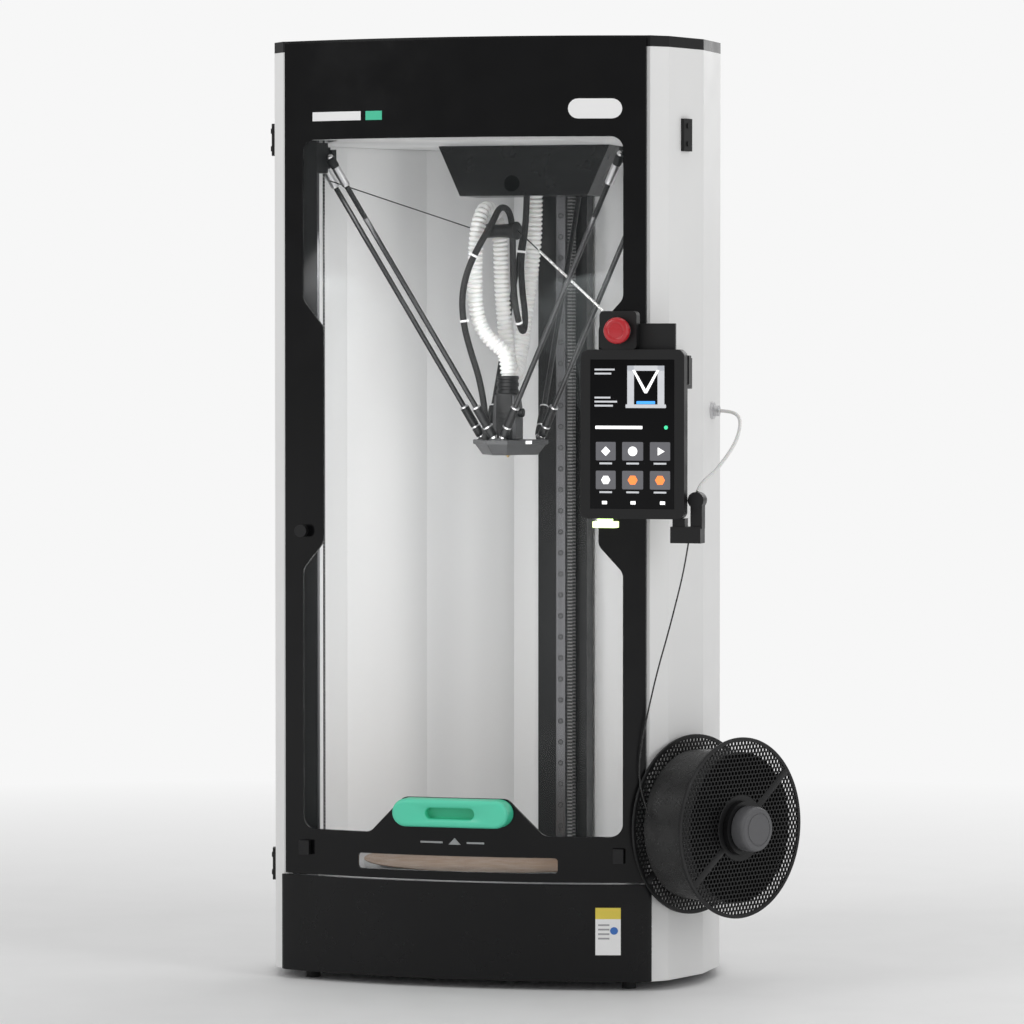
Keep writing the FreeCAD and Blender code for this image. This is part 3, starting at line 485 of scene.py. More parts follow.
def stadium(half_long, half_tall, centre, steps=12):
    """The outline of a bar with round ends, in X and Z."""
    points = []
    for sign in (1, -1):
        for index in range(steps + 1):
            turn = -math.pi / 2 + math.pi * index / steps
            points.append((centre[0] + sign * (half_long - half_tall + half_tall * math.cos(turn)),
                           centre[1] + sign * half_tall * math.sin(turn)))
    return points


DECAL_STEP = 0.004


def decal(name, outlines, material, body="door", out=0.00035):
    """Flat printed shapes that follow the curved front, each from an outline in X and Z."""
    mesh = bmesh.new()
    for outline in outlines:
        mesh.faces.new([mesh.verts.new((x, 0, z)) for x, z in outline])
    across = [x for outline in outlines for x, z in outline]
    for index in range(1, int((max(across) - min(across)) / DECAL_STEP) + 1):
        bmesh.ops.bisect_plane(mesh, geom=mesh.verts[:] + mesh.edges[:] + mesh.faces[:],
                               plane_co=(min(across) + DECAL_STEP * index, 0, 0), plane_no=(1, 0, 0))
    made = bmesh.ops.extrude_face_region(mesh, geom=mesh.faces[:])
    raised = {vert for vert in made["geom"] if isinstance(vert, bmesh.types.BMVert)}
    for vert in mesh.verts:
        vert.co = front(vert.co.x, vert.co.z, out if vert in raised else 0.0)
    return piece(name, mesh, material, body)


def rectangle(x0, z0, x1, z1):
    return [(x0, z0), (x1, z0), (x1, z1), (x0, z1)]


def outline_of(place, radius, sides):
    return [(place[0] + radius * math.cos(2 * math.pi * index / sides),
             place[1] + radius * math.sin(2 * math.pi * index / sides)) for index in range(sides)]


# ------------------------------------------------------------------ hoses and strands
HOSE_ROUTE = [
    (0.008, 0.085, 0.761), (0.008, 0.085, 0.724), (0.005, 0.085, 0.688), (0, 0.085, 0.650),
    (-0.005, 0.085, 0.614), (-0.009, 0.082, 0.578), (-0.009, 0.065, 0.552), (-0.009, 0.044, 0.556),
    (-0.011, 0.034, 0.584), (-0.014, 0.033, 0.616), (-0.017, 0.033, 0.650), (-0.018, 0.033, 0.684),
    (-0.019, 0.032, 0.716), (-0.023, 0.021, 0.744), (-0.029, 0.003, 0.746), (-0.033, -0.009, 0.726),
    (-0.035, -0.012, 0.698), (-0.036, -0.011, 0.666), (-0.036, -0.010, 0.634), (-0.030, -0.008, 0.608),
    (-0.017, -0.005, 0.592), (0, 0, 0.578), (0, 0, 0.553),
]
SLEEVE_ROUTE = [
    (0.005, 0.060, 0.761), (0.004, 0.060, 0.724), (-0.002, 0.059, 0.688), (0, 0.058, 0.652),
    (0.005, 0.056, 0.620), (0.007, 0.040, 0.600), (0.005, 0.024, 0.616), (0.001, 0.020, 0.648),
    (0, 0.020, 0.682), (0, 0.020, 0.714), (-0.001, 0.014, 0.742), (-0.007, -0.007, 0.748),
    (-0.012, -0.021, 0.728), (-0.024, -0.030, 0.704), (-0.038, -0.032, 0.676), (-0.046, -0.030, 0.646),
    (-0.045, -0.028, 0.614), (-0.037, -0.028, 0.584), (-0.027, -0.027, 0.554), (-0.022, -0.024, 0.526),
    (-0.020, -0.022, 0.502), (-0.020, -0.022, 0.480),
]
GUIDE_ROUTE = [
    (0.2604, -0.042, 0.5145), (0.275, -0.044, 0.514), (0.288, -0.058, 0.508), (0.295, -0.084, 0.496),
    (0.297, -0.114, 0.480), (0.294, -0.146, 0.464), (0.288, -0.176, 0.448), (0.280, -0.200, 0.438),
    (0.278, -0.210, 0.428),
]
FILAMENT_ROUTE = [
    (0.268, -0.210, 0.372), (0.263, -0.209, 0.343), (0.254, -0.208, 0.308), (0.244, -0.206, 0.272),
    (0.232, -0.205, 0.232), (0.222, -0.205, 0.190), (0.214, -0.205, 0.152), (0.211, -0.205, 0.122),
    (0.213, -0.204, 0.096), (0.221, -0.202, 0.072),
]


def route_curve(name, route):
    """One smooth NURBS line with the route's points as its control points."""
    data = bpy.data.curves.new(name, "CURVE")
    data.dimensions = "3D"
    data.resolution_u = 12
    spline = data.splines.new("NURBS")
    spline.points.add(len(route) - 1)
    for point, place in zip(spline.points, route):
        point.co = (*place, 1)
    spline.order_u = 3
    spline.use_endpoint_u = True
    return data


def line_of(route):
    """Points along the route's NURBS line."""
    item = bpy.data.objects.new("line", route_curve("line", route))
    scene.collection.objects.link(item)
    bpy.context.view_layer.update()
    mesh = bpy.data.meshes.new_from_object(item.evaluated_get(bpy.context.evaluated_depsgraph_get()))
    points = [vert.co.copy() for vert in mesh.vertices]
    bpy.data.objects.remove(item)
    return points


def length_of(points):
    return sum((b - a).length for a, b in zip(points, points[1:]))


def evenly(points, step):
    """Points a step apart along a line."""
    spots = [points[0]]
    left = step
    for a, b in zip(points, points[1:]):
        run = (b - a).length
        done = 0.0
        while run - done > left:
            done += left
            spots.append(a.lerp(b, done / run))
            left = step
        left -= run - done
    if (spots[-1] - points[-1]).length > step / 3:
        spots.append(points[-1])
    return spots


def tube_mesh(spots, radius_at, sides):
    """A closed tube round the spots, its radius given by the distance along it."""
    mesh = bmesh.new()
    side = (spots[1] - spots[0]).orthogonal().normalized()
    rings = []
    travelled = 0.0
    for index, spot in enumerate(spots):
        ahead = (spots[min(index + 1, len(spots) - 1)] - spots[max(index - 1, 0)]).normalized()
        side = (side - ahead * side.dot(ahead)).normalized()
        other = ahead.cross(side)
        if index:
            travelled += (spot - spots[index - 1]).length
        radius = radius_at(travelled)
        rings.append([mesh.verts.new(spot + radius * (side * math.cos(2 * math.pi * step / sides)
                                                      + other * math.sin(2 * math.pi * step / sides)))
                      for step in range(sides)])
    skin(mesh, rings)
    return mesh


PATH_STEP = 0.004
HOSE_DIAMETER = 0.018
RIB_PITCH = 0.0053
RIB_DEPTH = 0.0019


def ribbed(travelled):
    return HOSE_DIAMETER / 2 - RIB_DEPTH * (0.5 - 0.5 * math.cos(2 * math.pi * travelled / RIB_PITCH)) ** 1.6


hose_line = line_of(HOSE_ROUTE)
hose = piece("corrugated_hose", tube_mesh(evenly(hose_line, RIB_PITCH / 8), ribbed, 28), hose_white, None,
             ["air_hose"], smooth=60)
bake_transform(hose)
[tuple(spot) for spot in evenly(hose_line, PATH_STEP)]

SLEEVE_DIAMETER = 0.0074
sleeve_line = line_of(SLEEVE_ROUTE)
sleeve = piece("braided_sleeve",
               tube_mesh(evenly(sleeve_line, 0.003), lambda travelled: SLEEVE_DIAMETER / 2, 16),
               sleeve_black, None, ["wire_sleeve"], smooth=60)
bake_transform(sleeve)
[tuple(spot) for spot in evenly(sleeve_line, PATH_STEP)]


def strand(name, route, diameter, material, node):
    data = route_curve(name, route)
    data.bevel_depth = diameter / 2
    data.bevel_resolution = 4
    data.use_fill_caps = True
    data.materials.append(material)
    item = bpy.data.objects.new(name, data)
    scene.collection.objects.link(item)
    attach(item, "frame")
    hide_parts(node)
    length_of(line_of(route))


strand("feed_tube", GUIDE_ROUTE, 0.004, hose_white, "guide_tube")
strand("filament_line", FILAMENT_ROUTE, 0.00175, filament_black, "filament_strand")


# ------------------------------------------------------------------ rails, rods and effector
def tower_turn(tower):
    """From a tower's own frame, with X outwards, to the machine's."""
    return Matrix.Rotation(math.radians(TOWERS[tower]), 4, "Z")


RAIL_FACE = 0.221
RAIL_HALF = [(0.229, 0.006), (0.2274, 0.006), (0.2264, 0.0050), (0.2246, 0.0050), (0.2236, 0.006),
             (0.2216, 0.006), (RAIL_FACE, 0.0054)]
RAIL_OUTLINE = RAIL_HALF + [(x, -y) for x, y in reversed(RAIL_HALF)]
COUNTERBORE = [(0.0032, -0.0004), (0.0032, 0.0001), (0.0024, 0.0001), (0.0024, -0.0004)]
SCREW_HEAD = [(0.0023, -0.0004), (0.0023, 0.00006), (0.0011, 0.00006), (0.0010, -0.0003)]
RAIL_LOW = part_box("linear_rails")[0][2]
RAIL_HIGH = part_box("linear_rails")[1][2]
HOLE_PITCH = 0.025
rails = bmesh.new()
rail_holes = bmesh.new()
rail_screws = bmesh.new()
for tower in TOWERS:
    turn = tower_turn(tower)
    prism(rails, RAIL_OUTLINE, RAIL_LOW, RAIL_HIGH, turn)
    height = RAIL_LOW + HOLE_PITCH / 2
    while height < RAIL_HIGH:
        place = turn @ frame_along((-1, 0, 0), (RAIL_FACE, 0, height))
        lathe(rail_holes, COUNTERBORE, place, 20, True)
        lathe(rail_screws, SCREW_HEAD, place, 12)
        height += HOLE_PITCH
piece("grooved_rails", rails, rail_steel, "frame", ["linear_rails"])
piece("rail_hole_shadows", rail_holes, black_plastic, "frame")
piece("rail_screw_heads", rail_screws, dark_grey, "frame")

# each tower's rods end in balls on its carriage and on the effector, seen in the tower's own frame
BALL_LINE = 0.214
BALL_HEIGHT = 0.800
EFFECTOR_LINE = 0.024
EFFECTOR_BALL_HEIGHT = 0.4835
HALF_PITCH = 0.0305
BALL_RADIUS = 0.00445
# profiles of (radius, distance from the ball's centre) along a rod
CUP = [(0.0043, 0.0014), (0.0047, 0.0014), (0.0052, 0.0024), (0.0052, 0.0112), (0.0044, 0.0135),
       (0.003, 0.0135)]
FERRULE = [(0.0040, 0.0130), (0.0047, 0.0136), (0.0047, 0.0360), (0.0043, 0.0372), (0.0032, 0.0380)]
SLEEVE_END = [(0.0044, 0.0142), (0.0051, 0.0146), (0.0051, 0.0384), (0.0044, 0.0388)]
EDGE_NEAR = [(0.0040, 0.0126), (0.0053, 0.0128), (0.0053, 0.0146), (0.0040, 0.0148)]
EDGE_FAR = [(0.0032, 0.0384), (0.0051, 0.0386), (0.0051, 0.0402), (0.0032, 0.0406)]
foot_balls = bmesh.new()
for tower in TOWERS:
    turn = tower_turn(tower)
    shafts = bmesh.new()
    bright = bmesh.new()
    dark = bmesh.new()
    top_balls = bmesh.new()
    for sign in (-1, 1):
        top = turn @ Vector((BALL_LINE, sign * HALF_PITCH, BALL_HEIGHT))
        foot = turn @ Vector((EFFECTOR_LINE, sign * HALF_PITCH, EFFECTOR_BALL_HEIGHT))
        run = foot - top
        from_top = frame_along(run, top)
        from_foot = frame_along(-run, foot)
        lathe(shafts, [(0.003, 0.034), (0.003, run.length - 0.036)], from_top, 24)
        for mesh, profile, place in ((dark, CUP, from_top), (bright, FERRULE, from_top), (dark, CUP, from_foot),
                                     (dark, SLEEVE_END, from_foot), (bright, EDGE_NEAR, from_foot),
                                     (bright, EDGE_FAR, from_foot)):
            lathe(mesh, profile, place, 32)
        for balls, centre in ((top_balls, top), (foot_balls, foot)):
            bmesh.ops.create_uvsphere(balls, u_segments=24, v_segments=16, radius=BALL_RADIUS,
                                      matrix=Matrix.Translation(centre))
    body = f"carriage_{tower}"
    piece(f"rod_shafts_{tower}", shafts, rod_black, body, [f"rods_{tower}"], smooth=40)
    piece(f"rod_ferrules_{tower}", bright, aluminium, body, smooth=40)
    piece(f"rod_cups_{tower}", dark, black_plastic, body, smooth=40)
    piece(f"top_balls_{tower}", top_balls, ball_steel, body, smooth=40)
piece("foot_balls", foot_balls, ball_steel, "effector", smooth=40)


def wheel_outline(radius, spread, headings):
    """Corners of a plate with a flat end at each heading."""
    points = []
    for heading in headings:
        out = Vector((math.cos(math.radians(heading)), math.sin(math.radians(heading))))
        side = Vector((-out.y, out.x))
        points += [tuple(out * radius - side * spread), tuple(out * radius + side * spread)]
    return points


def softened(mesh, width, angle=25, segments=2):
    """Rounds the mesh's edges that are sharper than angle."""
    bmesh.ops.recalc_face_normals(mesh, faces=mesh.faces)
    edges = [edge for edge in mesh.edges
             if len(edge.link_faces) == 2 and edge.calc_face_angle() > math.radians(angle)]
    bmesh.ops.bevel(mesh, geom=edges, offset=width, segments=segments, affect="EDGES", profile=0.5)


headings = (-90, 30, 150)
plate = bmesh.new()
prism(plate, wheel_outline(0.0448, 0.013, headings), 0.4745, 0.480, Matrix())
softened(plate, 0.0012)
tapered = bmesh.new()
upper = [tapered.verts.new((x, y, 0.4748)) for x, y in wheel_outline(0.0425, 0.0120, headings)]
lower = [tapered.verts.new((x, y, 0.4627)) for x, y in wheel_outline(0.0335, 0.0085, headings)]
skin(tapered, [upper, lower])
softened(tapered, 0.0008)
piece("effector_underside", tapered, dark_grey, "effector")
seats = bmesh.new()
for tower in TOWERS:
    for sign in (-1, 1):
        seat = tower_turn(tower) @ Vector((EFFECTOR_LINE, sign * HALF_PITCH, 0))
        lathe(seats, [(0.0050, 0.4745), (0.0050, 0.4800), (0.0030, 0.4808), (0.0022, 0.4815)],
              Matrix.Translation(seat), 24)
lathe(seats, [(0.0036, 0.4785), (0.0046, 0.4795), (0.0046, 0.4812), (0.0036, 0.4822)],
      Matrix.Translation((0, -0.038, 0)), 24)
piece("effector_plate", plate, dark_grey, "effector", ["effector"])
piece("ball_seats", seats, dark_grey, "effector", smooth=40)
window_light = bmesh.new()
block(window_light, (-0.0045, -0.0018, -0.0003), (0.0045, 0.0018, 0.0004), 0.0001,
      frame_along((0.866, -0.5, 0), (0.0298, -0.0165, 0.4772)))
piece("effector_window", window_light, screen_white, "effector")

# ------------------------------------------------------------------ head housing
core = bmesh.new()
block(core, (-0.0095, -0.0158, 0.480), (0.0095, 0.0158, 0.533), 0.001)
lathe(core, [(0.0118, 0.5325), (0.0128, 0.5335), (0.0128, 0.5372), (0.0118, 0.5380), (0.0118, 0.5405),
             (0.0128, 0.5413), (0.0128, 0.5450), (0.0118, 0.5458), (0.0118, 0.5484), (0.0128, 0.5492),
             (0.0128, 0.5520), (0.0120, 0.5530), (0.0096, 0.5530), (0.0096, 0.5325)], Matrix(), 48, True)
for level in range(5):
    rise = 0.0050 * level
    block(core, (-0.0070, -0.01635, 0.4895 + rise), (0.0070, -0.0155, 0.4912 + rise), 0.0003)
lathe(core, [(0.0042, 0.0), (0.0050, 0.0008), (0.0050, 0.0058), (0.0042, 0.0066)],
      frame_along((1, 0, 0), (0.014, -0.004, 0.511)), 32)
piece("head_core", core, black_plastic, "effector", ["head_housing"], smooth=35)
cheeks = bmesh.new()
for sign in (-1, 1):
    outline = [(sign * x, z) for x, z in ((0.0090, 0.4805), (0.0139, 0.4805), (0.0139, 0.5120),
                                          (0.0115, 0.5310), (0.0090, 0.5310))]
    prism(cheeks, outline, -0.0150, 0.0150, Matrix.Rotation(math.pi / 2, 4, "X"))
softened(cheeks, 0.0008)
piece("head_cheeks", cheeks, dark_grey, "effector")

# ------------------------------------------------------------------ saddle, ties and tethers
SADDLE_AT = Vector((-0.012, 0.005, 0.719))
SADDLE_AXIS = Vector((0.95, -0.31, 0)).normalized()
SADDLE_HALF = 0.026
saddle = bmesh.new()
lathe(saddle, [(0.0090, -0.0258), (0.0104, -0.0252), (0.0104, -0.0222), (0.0082, -0.0208), (0.0074, 0.0),
               (0.0082, 0.0168), (0.0104, 0.0184), (0.0104, 0.0250), (0.0092, 0.0258)],
      frame_along(SADDLE_AXIS, SADDLE_AT), 40)
piece("saddle_drum", saddle, black_plastic, "frame", ["hose_saddle"], smooth=35)

TIE_SHARES = (0.1088, 0.2954, 0.6466, 0.7751)
ties = bmesh.new()
for share in TIE_SHARES:
    spots = evenly(sleeve_line, length_of(sleeve_line) * share)
    nearest = min(range(1, len(sleeve_line) - 1), key=lambda index: (sleeve_line[index] - spots[1]).length)
    along = sleeve_line[nearest + 1] - sleeve_line[nearest - 1]
    lathe(ties, [(0.0034, -0.0014), (0.0044, -0.0012), (0.0044, 0.0012), (0.0034, 0.0014)],
          frame_along(along, sleeve_line[nearest]), 20, True)
    block(ties, (-0.0016, 0.0036, -0.0014), (0.0016, 0.0062, 0.0014), 0.0003,
          frame_along(along, sleeve_line[nearest]))
tie_piece = piece("sleeve_ties", ties, white_print, None)
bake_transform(tie_piece)

tether_lines = bmesh.new()
left_start = SADDLE_AT - SADDLE_AXIS * SADDLE_HALF
right_start = SADDLE_AT + SADDLE_AXIS * SADDLE_HALF
LEFT_HOOK = Vector((-0.184, -0.092, 0.775))
RIGHT_HOOK = Vector((0.176, -0.092, 0.593))
left_run = LEFT_HOOK - left_start
right_run = RIGHT_HOOK - right_start
LINE_RADIUS = 0.0007
COIL_SHARES = (0.18, 0.82)
lathe(tether_lines, [(LINE_RADIUS, 0), (LINE_RADIUS, left_run.length)], frame_along(left_run, left_start), 10)
for low, high in ((0, COIL_SHARES[0]), (COIL_SHARES[1], 1)):
    lathe(tether_lines, [(LINE_RADIUS, low * right_run.length), (LINE_RADIUS, high * right_run.length)],
          frame_along(right_run, right_start), 10)
piece("tether_lines", tether_lines, black_plastic, "frame", ["saddle_tethers"], smooth=40)
COIL_PITCH = 0.0013
COIL_RADIUS = 0.00128
COIL_WIRE = 0.0004
COIL_STEPS = 10
coil_frame = frame_along(right_run, right_start)
coil_from = COIL_SHARES[0] * right_run.length
coil_turns = (COIL_SHARES[1] - COIL_SHARES[0]) * right_run.length / COIL_PITCH
coil = []
for step in range(int(coil_turns * COIL_STEPS)):
    turn = 2 * math.pi * step / COIL_STEPS
    coil.append(coil_frame @ Vector((COIL_RADIUS * math.cos(turn), COIL_RADIUS * math.sin(turn),
                                     coil_from + COIL_PITCH * step / COIL_STEPS)))
piece("tether_spring", tube_mesh(coil, lambda travelled: COIL_WIRE, 6), bright_edge, "frame",
      smooth=60)

# ------------------------------------------------------------------ spool
SPOOL_FRAME = frame_along(SPOOL_AXIS, SPOOL_CENTRE)
CELL = 0.0054
CELL_WALL = 0.0013
ROW_PITCH = CELL * 0.866
BAR_HEADING = math.radians(38)


def honeycomb(name, inner, outer, low, high):
    """A plate of hexagonal cells between two radii, across the spool's axis."""
    places = []
    faces = []
    wide = CELL / math.sqrt(3)
    narrow = (CELL - CELL_WALL) / math.sqrt(3)
    rows = int(outer / ROW_PITCH) + 1
    for row in range(-rows, rows + 1):
        for column in range(-rows - 8, rows + 9):
            x = CELL * (column + 0.5 * (row % 2))
            y = ROW_PITCH * row
            if not inner < math.hypot(x, y) < outer:
                continue
            first = len(places)
            for radius, height in ((wide, high), (narrow, high), (narrow, low), (wide, low)):
                for corner in range(6):
                    turn = math.radians(30 + 60 * corner)
                    corner_at = (x + radius * math.cos(turn), y + radius * math.sin(turn), height)
                    places.append(SPOOL_FRAME @ Vector(corner_at))
            for ring in range(3):
                for corner in range(6):
                    after = (corner + 1) % 6
                    near = first + 6 * ring
                    faces.append((near + corner, near + after, near + 6 + after, near + 6 + corner))
    data = bpy.data.meshes.new(name)
    data.from_pydata(places, [], faces)
    return data


for side, low in (("inner", -0.036), ("outer", 0.033)):
    piece(f"spool_cells_{side}", honeycomb(f"spool_cells_{side}", 0.034, 0.0962, low + 0.0003, low + 0.0027),
          black_plastic, "spool")
spool_frame = bmesh.new()
for low in (-0.036, 0.033):
    lathe(spool_frame, [(0.0958, low + 0.0002), (0.0994, low), (0.1000, low + 0.0006), (0.1000, low + 0.0024),
                        (0.0994, low + 0.003), (0.0958, low + 0.0028)], SPOOL_FRAME, 128, True)
    lathe(spool_frame, [(0.026, low), (0.0362, low), (0.0368, low + 0.0005), (0.0368, low + 0.0025),
                        (0.0362, low + 0.003), (0.026, low + 0.003)], SPOOL_FRAME, 96, True)
    for half_turn in (0, math.pi):
        block(spool_frame, (0.034, -0.0040, low + 0.00005), (0.0966, 0.0040, low + 0.00295), 0.0004,
              SPOOL_FRAME @ Matrix.Rotation(BAR_HEADING + half_turn, 4, "Z"))
lathe(spool_frame, [(0.026, -0.0355), (0.0300, -0.0355), (0.0300, 0.0355), (0.026, 0.0355)],
      SPOOL_FRAME, 96, True)
piece("spool_frame", spool_frame, black_plastic, "spool", ["spool"], smooth=35)

WOUND_HALF = 0.0328
WOUND_INNER = 0.0302
WOUND_OUTER = 0.0832
TURNS = 36
winding = bmesh.new()
wound = [(WOUND_INNER, -WOUND_HALF)]
for index in range(TURNS):
    base = -WOUND_HALF + 2 * WOUND_HALF * index / TURNS
    for share, lift in ((0.0, 0.0), (0.25, 0.0005), (0.5, 0.0007), (0.75, 0.0005)):
        wound.append((WOUND_OUTER + lift, base + 2 * WOUND_HALF / TURNS * share))
wound += [(WOUND_OUTER, WOUND_HALF), (WOUND_INNER, WOUND_HALF)]
lathe(winding, wound, SPOOL_FRAME, 96, True)
piece("wound_filament", winding, filament_black, "spool", ["filament_winding"], smooth=60)

knob = bmesh.new()
lathe(knob, [(0.0225, 0.0430), (0.0245, 0.0436), (0.0250, 0.0450), (0.0250, 0.0570), (0.0244, 0.0598),
             (0.0228, 0.0616), (0.0200, 0.0624), (0.0186, 0.0624), (0.0182, 0.0618), (0.0172, 0.0618),
             (0.0168, 0.0625), (0.0060, 0.0628), (0.0040, 0.0627)], SPOOL_FRAME, 96)
piece("grip_knob", knob, grey_plastic, "frame", ["spool_knob"], smooth=30)

# ------------------------------------------------------------------ door handle
HANDLE_Z = 0.070


def handle_ring(half_long, half_tall, y):
    return [Vector((x, y, z)) for x, z in stadium(half_long, half_tall, (0, HANDLE_Z), 16)]


grip = bmesh.new()
# half length, half height and Y of each ring, from the door to the recess's floor
levels = [(0.0670, 0.0155, -0.2015), (0.0670, 0.0155, -0.2255), (0.0664, 0.0149, -0.2278),
          (0.0650, 0.0135, -0.2294), (0.0630, 0.0115, -0.2300), (0.0300, 0.0078, -0.2292),
          (0.0284, 0.0062, -0.2276), (0.0280, 0.0060, -0.2170)]
skin(grip, [[grip.verts.new(place) for place in handle_ring(*level)] for level in levels])
pull = piece("rounded_pull", grip, green_pull, "door", ["door_handle"], smooth=50)
pull.data.materials.append(green_rim_highlight)
# the lip's front faces take the lighter green: a painted highlight
for face in pull.data.polygons:
    on_lit_rim = -0.2297 < face.center.y < -0.2262 and abs(face.normal.y) > 0.2
    if on_lit_rim and abs(face.center.z - HANDLE_Z) < levels[0][1]:
        face.material_index = 1

# ------------------------------------------------------------------ stop button
press = bmesh.new()
STOP_AT = Vector((0.196, 0, 0.604))
PRESS_FRAME = frame_along((0, -1, 0), STOP_AT)
lathe(press, [(0.0078, 0.2325), (0.0078, 0.2385), (0.0128, 0.2385), (0.0140, 0.2392), (0.0145, 0.2408),
              (0.0145, 0.2450), (0.0140, 0.2476), (0.0126, 0.2492), (0.0100, 0.2499), (0.0085, 0.2494),
              (0.0080, 0.2488), (0.0030, 0.2490)], PRESS_FRAME, 64)
piece("stop_cap", press, stop_red, "stop_button", ["stop_button"], smooth=40)
collar = bmesh.new()
lathe(collar, [(0.0086, 0.2318), (0.0122, 0.2318), (0.0126, 0.2324), (0.0122, 0.2334), (0.0086, 0.2336)],
      PRESS_FRAME, 48, True)
piece("stop_collar", collar, grey_plastic, "frame", smooth=40)

# ------------------------------------------------------------------ screen picture
FACE = Matrix.Rotation(math.pi / 2, 4, "X")
SCREEN_X = 0.163
SCREEN_Z = 0.4095
SCREEN_WIDE = 0.095
SCREEN_TALL = 0.163
PICTURE_BACK = 0.2322
PICTURE_FRONT = 0.23272


def on_screen(x, z):
    """The place at these shares of the screen's width and height."""
    return SCREEN_X + SCREEN_WIDE * x, SCREEN_Z + SCREEN_TALL * z


def soft_rectangle(x0, z0, x1, z1, radius=0.0012, steps=3):
    points = []
    for (x, z), start in (((x1, z0), -90), ((x1, z1), 0), ((x0, z1), 90), ((x0, z0), 180)):
        centre_x = x + (radius if x == x0 else -radius)
        centre_z = z + (radius if z == z0 else -radius)
        for index in range(steps + 1):
            turn = math.radians(start + 90 * index / steps)
            points.append((centre_x + radius * math.cos(turn), centre_z + radius * math.sin(turn)))
    return points


def shown(name, shapes, material, lift=0.0):
    """Lit shapes on the screen's face, each from an outline in X and Z."""
    mesh = bmesh.new()
    for outline in shapes:
        prism(mesh, outline, PICTURE_BACK + lift, PICTURE_FRONT + lift, FACE)
    return piece(name, mesh, material, "frame")


def panel_of(x0, z0, x1, z1, radius=0.0012):
    return soft_rectangle(*on_screen(x0, z0), *on_screen(x1, z1), radius)


tile_spans = [(0.066, 0.303), (0.380, 0.630), (0.710, 0.950)]
rows = [(0.324, 0.448), (0.131, 0.255)]
shown("screen_tiles", [panel_of(x0, z0, x1, z1) for z0, z1 in rows for x0, x1 in tile_spans], screen_grey)
ICON_SIDES = (4, 24, 3, 6)
icons = []
captions = []
for row, (z0, z1) in enumerate(rows):
    for column, (x0, x1) in enumerate(tile_spans):
        middle = (x0 + x1) / 2
        captions.append(panel_of(middle - 0.075, z0 - 0.026, middle + 0.075, z0 - 0.014, 0.0004))
        if row == 0 or column == 0:
            sides = ICON_SIDES[row * 3 + column]
            icons.append(outline_of(on_screen(middle, (z0 + z1) / 2), 0.0052, sides))
shown("screen_icons", icons, screen_white, 0.0001)
shown("screen_captions", captions, screen_soft)
shown("screen_hexagons", [outline_of(on_screen(x, 0.193), 0.0056, 6) for x in (0.505, 0.83)],
      screen_orange, 0.0001)
shown("screen_marks", [panel_of(0.14, 0.03, 0.20, 0.052, 0.0004), panel_of(0.48, 0.03, 0.54, 0.052, 0.0004),
                       panel_of(0.83, 0.03, 0.89, 0.052, 0.0004), panel_of(0.06, 0.535, 0.62, 0.556, 0.0005)],
      screen_white)
info_lines = ((0.685, 0.22), (0.712, 0.27), (0.739, 0.19), (0.900, 0.20), (0.927, 0.24))
shown("screen_lines", [panel_of(0.05, z, 0.05 + wide, z + 0.012, 0.0003) for z, wide in info_lines],
      screen_soft)
picture = [panel_of(0.42, 0.676, 0.90, 0.700, 0.0006)]
for x0, x1 in ((0.44, 0.52), (0.80, 0.88)):
    picture.append(panel_of(x0, 0.700, x1, 0.959, 0.0004))
picture.append(panel_of(0.44, 0.925, 0.88, 0.959, 0.0006))
shown("screen_picture", picture, screen_soft)
rod_picture = ((0.50, 0.93), (0.53, 0.93), (0.66, 0.80), (0.79, 0.93), (0.82, 0.93), (0.675, 0.775),
               (0.645, 0.775))
shown("screen_head", [[on_screen(x, z) for x, z in rod_picture]], screen_white, 0.0001)
shown("screen_bed", [panel_of(0.55, 0.702, 0.77, 0.722, 0.0004)], screen_blue, 0.0001)
shown("screen_state", [outline_of(on_screen(0.90, 0.546), 0.0022, 16)], screen_green)

# ------------------------------------------------------------------ printed marks
decal("maker_bar", [rectangle(-0.173, 0.8385, -0.112, 0.8485)], white_print)
decal("maker_accent", [rectangle(-0.106, 0.8385, -0.086, 0.8485)], green_print)
decal("model_badge", [stadium(0.029, 0.0110, (0.156, 0.8485), 10)], white_print)
arrow = [(-0.007, 0.034), (0.0, 0.0415), (0.007, 0.034)]
decal("door_arrow", [arrow, rectangle(-0.040, 0.0352, -0.014, 0.0372), rectangle(0.014, 0.0352, 0.034, 0.0372)],
      grey_print)
decal("sticker_sheet", [rectangle(0.157, -0.086, 0.184, -0.046)], white_print, "frame")
decal("sticker_band", [rectangle(0.157, -0.046, 0.184, -0.0335)], yellow_print, "frame")
decal("sticker_rows", [rectangle(0.160, z, 0.172, z + 0.0018) for z in (-0.0535, -0.0585, -0.0635, -0.0685)],
      grey_print, "frame", out=0.0006)
decal("sticker_circle", [outline_of((0.177, -0.0590), 0.0042, 20)], blue_print, "frame",
      out=0.0006)

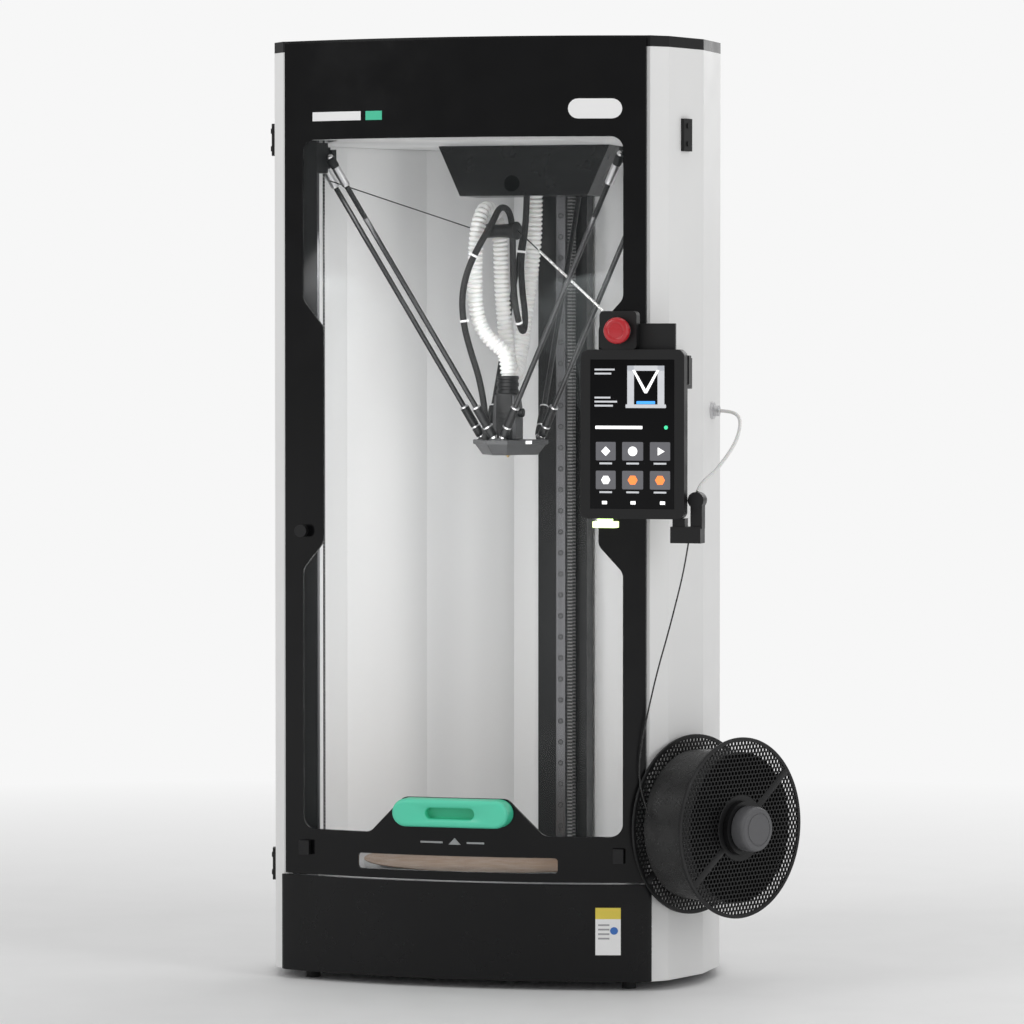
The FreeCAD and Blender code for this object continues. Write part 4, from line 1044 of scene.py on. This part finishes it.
# ------------------------------------------------------------------ soft edges on the carried-over parts
EDGE_WIDTHS = {
    "side_panel_left": 0.0005, "side_panel_right": 0.0005, "rear_panel": 0.0004, "door_frame": 0.0009,
    "top_lid": 0.0016, "base_cover": 0.0008, "screen_case": 0.0012, "stop_box": 0.0008, "front_posts": 0.0006,
    "screen_bracket": 0.0006, "panel_clips": 0.0005, "filament_sensor": 0.0012, "status_light": 0.0009,
    "spool_arbor": 0.0008, "feet": 0.0012, "hood": 0.0008, "columns": 0.0007, "carriage_left": 0.0004,
    "carriage_right": 0.0004, "carriage_rear": 0.0004, "build_plate": 0.0003, "bed_heater": 0.0006,
    "power_inlet": 0.0006, "power_rocker": 0.0005, "fan_frame": 0.0005, "fan_rotor": 0.0002,
    "door_catches": 0.0007, "side_port": 0.0006, "screen_glass": 0.0002, "power_supply": 0.0008,
    "main_board": 0.0002, "nozzle": 0.0003, "drive_motors": 0.0008, "deck_plate": 0.0005,
    "ceiling_plate": 0.0004, "bottom_plate": 0.0003,
}
for name, width in EDGE_WIDTHS.items():
    node = NODES[name]
    weld = node.modifiers.new("weld", "WELD")
    weld.merge_threshold = 0.00002
    bevel = node.modifiers.new("bevel", "BEVEL")
    bevel.width = width
    bevel.segments = 2
    bevel.limit_method = "ANGLE"
    bevel.angle_limit = math.radians(35)
    bevel.harden_normals = True
    weighted = node.modifiers.new("weighted", "WEIGHTED_NORMAL")
    weighted.keep_sharp = True

# ------------------------------------------------------------------ floor
floor_mesh = bmesh.new()
floor_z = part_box("feet")[0][2]
bmesh.ops.create_grid(floor_mesh, x_segments=1, y_segments=1, size=30,
                      matrix=Matrix.Translation((0, 0, floor_z - 0.0002)))
floor_data = bpy.data.meshes.new("floor")
floor_mesh.to_mesh(floor_data)
floor_mesh.free()
floor = bpy.data.objects.new("floor", floor_data)
scene.collection.objects.link(floor)
FADE_START = 0.7
FADE_STOP = 2.6
floor_shader = finish_of("floor_pale", (0.86, 0.86, 0.86), 0.55, 0.7, 40, 0.0001, 0.01)
distance = floor_shader.add("ShaderNodeVectorMath", operation="LENGTH")
floor_shader.link(floor_shader.coordinates.outputs["Object"], distance.inputs[0])
far_off = floor_shader.spread(distance.outputs["Value"], 0, 1, FADE_START, FADE_STOP)
haze = floor_shader.add("ShaderNodeEmission")
haze.inputs["Color"].default_value = (1, 1, 1, 1)
haze.inputs["Strength"].default_value = BACKDROP
fade = floor_shader.add("ShaderNodeMixShader")
floor_shader.link(far_off, fade.inputs[0])
floor_shader.link(floor_shader.main.outputs[0], fade.inputs[1])
floor_shader.link(haze.outputs[0], fade.inputs[2])
floor_shader.link(fade.outputs[0], floor_shader.tree.nodes["Material Output"].inputs["Surface"])
floor_data.materials.append(floor_shader.material)
